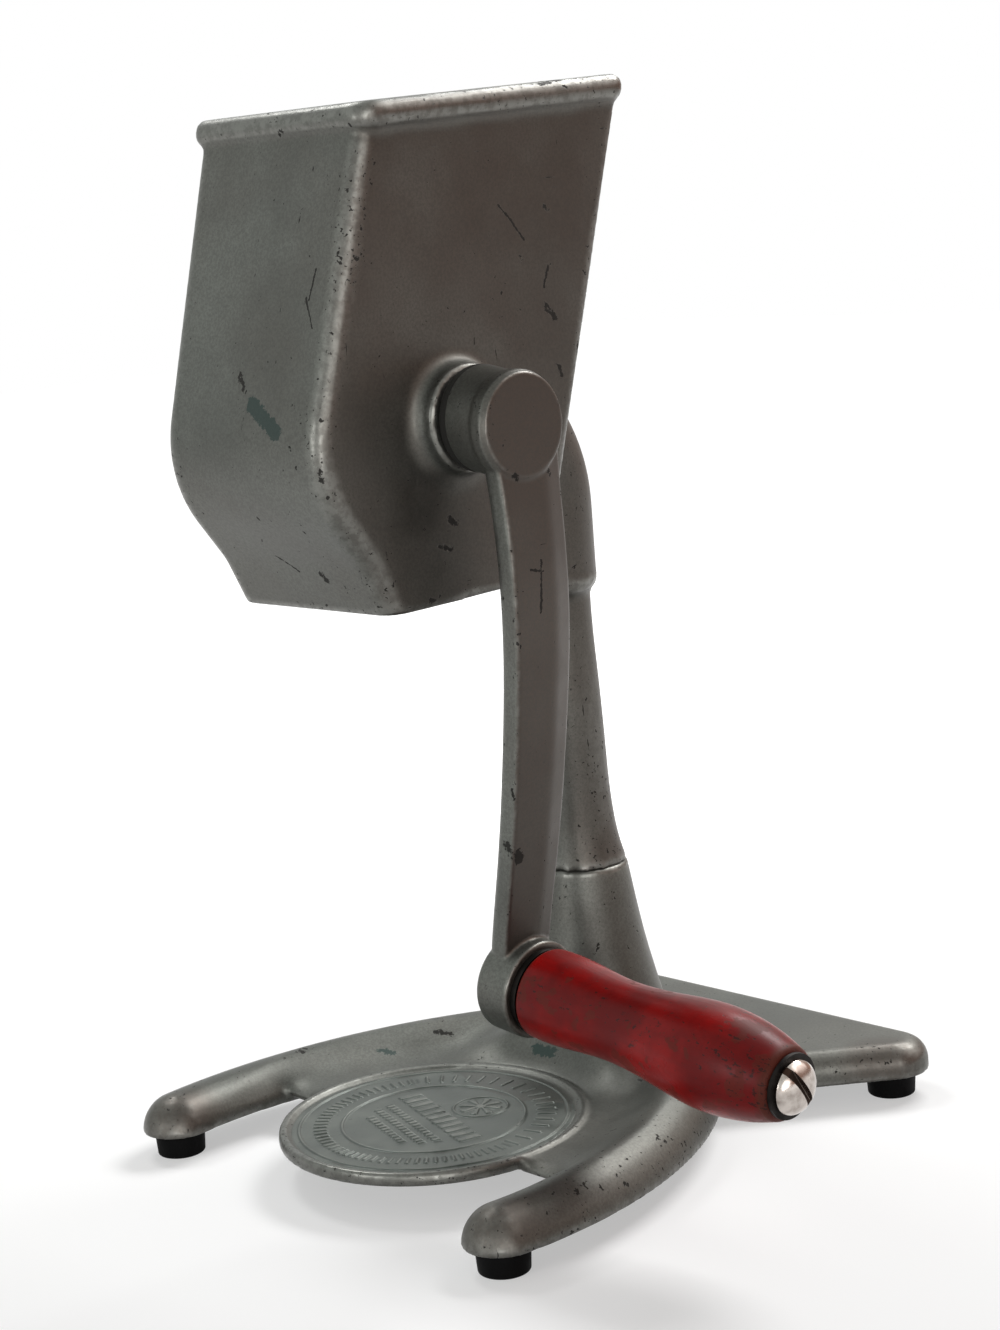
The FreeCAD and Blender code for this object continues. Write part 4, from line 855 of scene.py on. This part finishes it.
def plate_metal(name):
    """Pewter ground with a dark film beside the raised pattern and rubbed tops."""
    material, tree, shader = new_material(name)
    place = object_place(tree)
    relief_here = add(tree, "Attribute", attribute_name="relief").outputs["Fac"]
    clouds = use(tree, tone_clouds, {"Vector": place, "Scale": 60.0, "Spread": 0.16})
    worn = use(tree, tone_clouds, {"Vector": place, "Scale": 120.0, "Spread": 0.10})
    colour = blend(tree, clouds, GROUND_DARK, GROUND)
    foot = times(tree, remap(tree, relief_here, *FOOT_RISE), remap(tree, relief_here, *FOOT_FALL))
    colour = blend(tree, times(tree, foot, FILM_SHARE), colour, FILM)
    worn = remap(tree, worn, 0.0, 1.0, TOP_LEAST, 1.0)
    top = times(tree, remap(tree, relief_here, *TOP_RISE), worn)
    colour = blend(tree, times(tree, top, TOP_SHARE), colour, PALE_WEAR_AND_HIGHLIGHT)
    dark_marks = chip_masks(tree, place, PLATE_CROWDING)
    colour = blend(tree, times(tree, dark_marks, PLATE_CHIP_SHARE), colour, CHIP_AND_SHADE_DARK)
    shader.inputs["Metallic"].default_value = CAST_METALLIC
    skin = use(tree, cast_skin, {"Vector": place, "Scale": 420.0})
    rough = remap(tree, clouds, 0.0, 1.0, *PLATE_ROUGH)
    dress(tree, shader, colour, rough, skin, 0.3, 0.15 * MM)
    return material


plate_face.data.materials.append(plate_metal("plate_pewter"))
print("plate finish on", plate_face.name)

# %% [markdown]
# ## The grip's axis
# The spinning joint gives the start and the direction of the grip. The slot of its bolt is cut
# across the head at a turn of its own, and painted shade darkens it, so the slot's narrow direction is
# worked out here too.

# %% Grip axis
GRIP_START = Vector(joints["grip_spin"]["pos_m"])
GRIP_AXIS = Vector(joints["grip_spin"]["axis"]).normalized()
GRIP_LENGTH = 101.5 * MM
SLOT_TURN = math.radians(35.0)
SLOT_HALF_WIDTH = 1.25 * MM
SLOT_FADE = (1.1, 0.9)

grip_up = GRIP_AXIS.cross(Vector((0, 1, 0)))
slot_across = Vector((0, 1, 0)) * math.cos(SLOT_TURN) + grip_up * math.sin(SLOT_TURN)
print("grip from", tuple(round(v, 4) for v in GRIP_START))
print("slot across", tuple(round(v, 3) for v in slot_across))

# %% [markdown]
# ## Steel, bronze and bare aluminium
# The fittings are plain metals. They share one recipe: a metallic shader whose roughness and
# tone drift with noise, and a tarnish that gathers in patches and specks.

# %% Plain metals
# Each recipe holds a name, two colours, the lowest and highest roughness and the tarnish's share.
SLOT_SHADE = (0.030, 0.018, 0.013, 1.0)
SPECK_SHARE = 0.7
SLOT_ROUGHER = 0.4


def slot_mask(tree, place):
    """The bolt's slot: a band across its head, by the distance from the slot's middle plane."""
    from_axis = arrows(tree, "SUBTRACT", place, GRIP_START)
    off = sums(tree, "ABSOLUTE", arrows(tree, "DOT_PRODUCT", from_axis, slot_across, "Value"))
    return remap(tree, off, *(share * SLOT_HALF_WIDTH for share in SLOT_FADE))


def plain_metal(name, bright, tarnish, smoothest, roughest, tarnish_share, slotted=False):
    """Metal with drifting roughness, patches of tarnish and dark specks, and painted shade in a slot."""
    material, tree, shader = new_material(name)
    place = object_place(tree)
    clouds = use(tree, tone_clouds, {"Vector": place, "Scale": 140.0, "Spread": 0.18})
    specks = use(tree, chips, {"Vector": place, "Scale": 900.0, "Limit": 0.74})
    colour = blend(tree, times(tree, clouds, tarnish_share), bright, tarnish)
    colour = blend(tree, times(tree, specks, SPECK_SHARE), colour, CHIP_AND_SHADE_DARK)
    rough = remap(tree, clouds, 0.0, 1.0, smoothest, roughest)
    if slotted:
        # Painted shade: the bolt's slot is darkened and made rougher, standing in for the shade inside it.
        slot_shade = slot_mask(tree, place)
        colour = blend(tree, slot_shade, colour, SLOT_SHADE)
        rough = plus(tree, rough, times(tree, slot_shade, SLOT_ROUGHER))
    shader.inputs["Metallic"].default_value = 1.0
    skin = use(tree, cast_skin, {"Vector": place, "Scale": 500.0})
    dress(tree, shader, colour, rough, skin, 0.12, 0.1 * MM)
    return material


METALS = {
    "steel": ("zinc_steel", (0.48, 0.48, 0.47, 1), (0.20, 0.19, 0.17, 1), 0.28, 0.45, 0.6),
    "dark_steel": ("black_steel", (0.018, 0.016, 0.015, 1), (0.008, 0.007, 0.006, 1),
                   0.4, 0.6, 0.8),
    "brass": ("bearing_bronze", (0.42, 0.27, 0.11, 1), (0.17, 0.11, 0.06, 1), 0.30, 0.5, 0.7),
    "chrome": ("worn_chrome", (0.58, 0.53, 0.49, 1), (0.16, 0.12, 0.10, 1), 0.12, 0.26, 0.7),
    "bare_aluminium": ("bare_aluminium", (0.55, 0.55, 0.55, 1), (0.33, 0.33, 0.32, 1),
                       0.32, 0.5, 0.7),
}
metals = {slot: plain_metal(*recipe, slotted=slot == "chrome") for slot, recipe in METALS.items()}
print("metals:", ", ".join(metals))

# %% [markdown]
# ## Rubber
# The feet are black rubber, matte with a little dust on them.

# %% Rubber
RUBBER_BLACK = (0.0010, 0.0010, 0.0012, 1)
RUBBER_DUST = (0.005, 0.0048, 0.0048, 1)
RUBBER_ROUGH = (0.5, 0.75)
RUBBER_SHINE = 0.06


def black_rubber():
    """Matte black with pale dust in patches."""
    material, tree, shader = new_material("black_rubber")
    place = object_place(tree)
    dust = use(tree, tone_clouds, {"Vector": place, "Scale": 90.0, "Spread": 0.2})
    colour = blend(tree, times(tree, dust, 0.5), RUBBER_BLACK, RUBBER_DUST)
    rough = remap(tree, dust, 0.0, 1.0, *RUBBER_ROUGH)
    shader.inputs["Specular IOR Level"].default_value = RUBBER_SHINE
    skin = use(tree, cast_skin, {"Vector": place, "Scale": 900.0})
    dress(tree, shader, colour, rough, skin, 0.2, 0.1 * MM)
    return material


rubber = black_rubber()
print("rubber:", rubber.name)

# %% [markdown]
# ## Place along the grip
# The patterns of the turned grip follow its own axis, not the model's. The spinning joint gives
# that axis, so its finish reads coordinates that start at the grip's end and run along it.

# %% Place along the grip
def along_grip(tree):
    """Object coordinates moved to the grip's start and turned so that X runs along it."""
    turn_back = GRIP_AXIS.rotation_difference(Vector((1, 0, 0))).to_euler()
    from_start = arrows(tree, "SUBTRACT", object_place(tree), GRIP_START)
    return add(tree, "VectorRotate", {"Vector": from_start, "Rotation": turn_back},
               rotation_type="EULER_XYZ").outputs[0]


print("grip axis", tuple(round(v, 3) for v in GRIP_AXIS))

# %% [markdown]
# ## Red lacquered wood
# The grip is turned wood under deep red lacquer. Its tone drifts in broad patches, thin streaks
# follow the grain along the grip, brown stains and specks show where it wore, and each end has
# a dark ring.

# %% Red lacquer
LACQUER = (0.310, 0.0055, 0.0050, 1.0)
LACQUER_DEEP = (0.090, 0.0018, 0.0020, 1.0)
LACQUER_BROWN = (0.075, 0.014, 0.008, 1.0)
SPECK_DARK = (0.010, 0.003, 0.002, 1.0)
START_RING = 2.2 * MM
END_RING = (GRIP_LENGTH - 4.0 * MM, GRIP_LENGTH - 1.0 * MM)
GRAIN_STRETCH = (0.08, 1.0, 1.0)
SPECK_STRETCH = (0.5, 1.0, 1.0)
WORN_FROM, WORN_CROWDING = 0.45 * GRIP_LENGTH, 0.045
PATCH_SHARE, STREAK_SHARE, BROWN_SHARE, DARK_SHARE = 0.85, 0.22, 0.55, 0.75
LACQUER_ROUGH, WORN_ROUGHER = (0.25, 0.36), 0.2
LACQUER_SHINE = 0.14
STREAK_HEIGHT = 0.25


def red_lacquer():
    """Lacquer over wood: patches, streaks along the grip, stains, specks and dark ends."""
    material, tree, shader = new_material("red_lacquer")
    along = along_grip(tree)
    distance = add(tree, "SeparateXYZ", {0: along}).outputs[0]
    grain = turned(tree, along, (0, 0, 0), GRAIN_STRETCH)
    streaks = use(tree, tone_clouds, {"Vector": grain, "Scale": 420.0, "Spread": 0.2})
    patches = use(tree, tone_clouds, {"Vector": along, "Scale": 34.0, "Spread": 0.18})
    colour = blend(tree, times(tree, patches, PATCH_SHARE), LACQUER, LACQUER_DEEP)
    colour = blend(tree, times(tree, streaks, STREAK_SHARE), colour, LACQUER_DEEP)
    towards_end = remap(tree, distance, WORN_FROM, GRIP_LENGTH, 0.0, WORN_CROWDING)
    stains = use(tree, chips, {"Vector": along, "Scale": 95.0, "Limit": 0.60,
                               "Crowding": towards_end, "Swarm": 0.05})
    fine = turned(tree, along, (0, 0, 0), SPECK_STRETCH)
    specks = use(tree, chips, {"Vector": fine, "Scale": 800.0, "Limit": 0.68,
                               "Crowding": towards_end, "Swarm": 0.07})
    near_start = remap(tree, distance, 0.0, START_RING, 1.0, 0.0)
    near_end = remap(tree, distance, *END_RING)
    worn = highest(tree, times(tree, stains, BROWN_SHARE), near_start, near_end)
    colour = blend(tree, worn, colour, LACQUER_BROWN)
    colour = blend(tree, times(tree, specks, DARK_SHARE), colour, SPECK_DARK)
    rough = remap(tree, patches, 0.0, 1.0, *LACQUER_ROUGH)
    rough = plus(tree, rough, times(tree, worn, WORN_ROUGHER))
    shader.inputs["Specular IOR Level"].default_value = LACQUER_SHINE
    dents = minus(tree, times(tree, streaks, STREAK_HEIGHT), specks)
    dress(tree, shader, colour, rough, dents, 0.25, 0.15 * MM)
    return material


lacquer = red_lacquer()
print("lacquer:", lacquer.name)

# %% [markdown]
# ## Finishes on the solids
# Solids whose shape is right keep it, and only take their finish, found by the record's slot.
# The washers and bushings beside the hub take the black steel finish, as painted shade in the gap there.

# %% Finishes on the solids
finishes = dict(metals, rubber=rubber, red_wood=lacquer, cast_metal=coat)
# Painted shade: the parts in the gap beside the hub get black steel.
black_beside_hub = ("right_thrust_washer", "left_thrust_washer", "right_bushing", "left_bushing")
for entry in frame["record"]["subparts"]:
    solid = nodes[entry["node"]]
    slot = "dark_steel" if entry["node"] in black_beside_hub else entry["material_slot"]
    solid.data.materials.clear()
    solid.data.materials.append(finishes[slot])

# %% [markdown]
# ## Studio floor
# The object stands on a pale floor. The camera, mirrors and clear things see a glow added to it,
# smaller near the object, so that its shadow stays, and rising with distance until floor and
# background are the same white.

# %% Floor
WHITE = (1, 1, 1, 1)
BLACK = (0, 0, 0, 1)
PAPER = (0.52, 0.52, 0.52, 1)
FLOOR_REACH = 4.0
GLOW_NEAR, GLOW_FAR = 0.45, 1.0
NEAR, FAR = 0.20, 0.50


def pale_floor():
    """A wide floor of pale paper under the feet, with the glow that grows with distance."""
    corners = np.array([[(-1, -1, 0), (1, -1, 0)], [(-1, 1, 0), (1, 1, 0)]]) * FLOOR_REACH
    floor = bpy.data.objects.new("floor", grid_mesh("floor", corners))
    floor.location.z = cad_low.z
    bpy.context.scene.collection.objects.link(floor)
    material, tree, shader = new_material("floor_paper")
    shader.inputs["Base Color"].default_value = PAPER
    shader.inputs["Roughness"].default_value = 1.0
    shader.inputs["Specular IOR Level"].default_value = 0.0
    away = arrows(tree, "LENGTH", object_place(tree), output="Value")
    glow = remap(tree, away, NEAR, FAR, GLOW_NEAR, GLOW_FAR)
    path = add(tree, "LightPath").outputs
    seen = highest(tree, path["Is Camera Ray"], path["Is Glossy Ray"], path["Is Transmission Ray"])
    tree.links.new(times(tree, glow, seen), shader.inputs["Emission Strength"])
    shader.inputs["Emission Color"].default_value = WHITE
    floor.data.materials.append(material)
    return floor


floor = pale_floor()
print("floor at", round(floor.location.z, 4))

# %% [markdown]
# ## Surroundings
# The camera and clear things see a white background. Diffuse surfaces are lit by a plain soft
# level instead. Mirrors see a white room that is darker and warmer behind the object to the
# right, which the crank's side of the castings reflects, and two bright windows, one beside the
# camera and one high behind. They draw the lines on the corner, the boss and the right leg.

# %% Surroundings
SOFT_LEVEL = 0.32
DARK_SIDE = Vector((0.72, 0.66, -0.1)).normalized()
DARK_START, DARK_FULL = -0.1, 0.85
MIRROR_WHITE = (0.95, 0.98, 0.96, 1.0)
MIRROR_DARK = (0.50, 0.28, 0.20, 1.0)
WINDOWS = (((0.80, -0.59, 0.06), 0.84, 4.4), ((0.42, 0.60, 0.68), 0.78, 2.4))


def towards(tree, direction):
    """How far the line of sight points in a direction: 1 along it, 0 across, -1 away."""
    sight = add(tree, "TexCoord").outputs["Generated"]
    return arrows(tree, "DOT_PRODUCT", sight, direction, "Value")


def surroundings():
    """White for the camera, a room with two windows for mirrors, a soft level for the rest."""
    world = bpy.data.worlds.new("surroundings")
    bpy.context.scene.world = world
    world.use_nodes = True
    tree = world.node_tree
    tree.nodes.clear()
    dark = remap(tree, towards(tree, DARK_SIDE), DARK_START, DARK_FULL)
    room = blend(tree, dark, MIRROR_WHITE, MIRROR_DARK)
    path = add(tree, "LightPath").outputs
    soft = blend(tree, SOFT_LEVEL, BLACK, room)
    for direction, start, strength in WINDOWS:
        sight = towards(tree, Vector(direction).normalized())
        window = remap(tree, sight, start, 1.0, 0.0, strength)
        room = blend(tree, 1.0, room, window, "ADD")
    mirrors = blend(tree, path["Is Glossy Ray"], soft, room)
    seen = highest(tree, path["Is Camera Ray"], path["Is Transmission Ray"])
    background = add(tree, "Background", {"Color": blend(tree, seen, mirrors, WHITE)})
    add(tree, "OutputWorld", {"Surface": background.outputs[0]})


surroundings()
print("soft level", SOFT_LEVEL)

# %% [markdown]
# ## Lights
# The key light is a window high behind the object: it lies bright on the tops of the legs and on
# the boss, and throws the shadow towards the front. A small lamp beside the camera and soft
# boxes in front, at the left and above fill in.

# %% Lights
SOFTBOXES = (
    ("key", (-0.05, 0.85, 0.85), (0.85, 0.35), 15.0, (1.0, 1.0, 1.0)),
    ("strip", (0.95, -1.00, -0.04), (0.20, 0.20), 2.0, (1.0, 1.0, 1.0)),
    ("front", (-0.05, -1.40, 0.20), (0.50, 0.50), 4.5, (1.0, 1.0, 1.0)),
    ("left", (-0.9, -1.2, 0.7), (1.0, 1.2), 1.5, (0.94, 1.0, 0.97)),
    ("top", (-0.8, 0.05, 1.05), (0.40, 0.40), 5.0, (1.0, 1.0, 1.0)),
)


def softbox(name, offset, size, power, tint):
    """A rectangular lamp at an offset from the middle of the object, turned towards it."""
    data = bpy.data.lights.new(name, "AREA")
    data.shape = "RECTANGLE"
    data.size, data.size_y = size
    data.energy = power
    data.color = tint
    lamp = bpy.data.objects.new(name, data)
    lamp.location = (cad_low + cad_high) / 2 + Vector(offset)
    lamp.rotation_euler = (-Vector(offset)).to_track_quat("-Z", "Y").to_euler()
    bpy.context.scene.collection.objects.link(lamp)
    print(name, "softbox,", power, "W")


for lamp_values in SOFTBOXES:
    softbox(*lamp_values)
bpy.context.scene.view_settings.view_transform = "Standard"
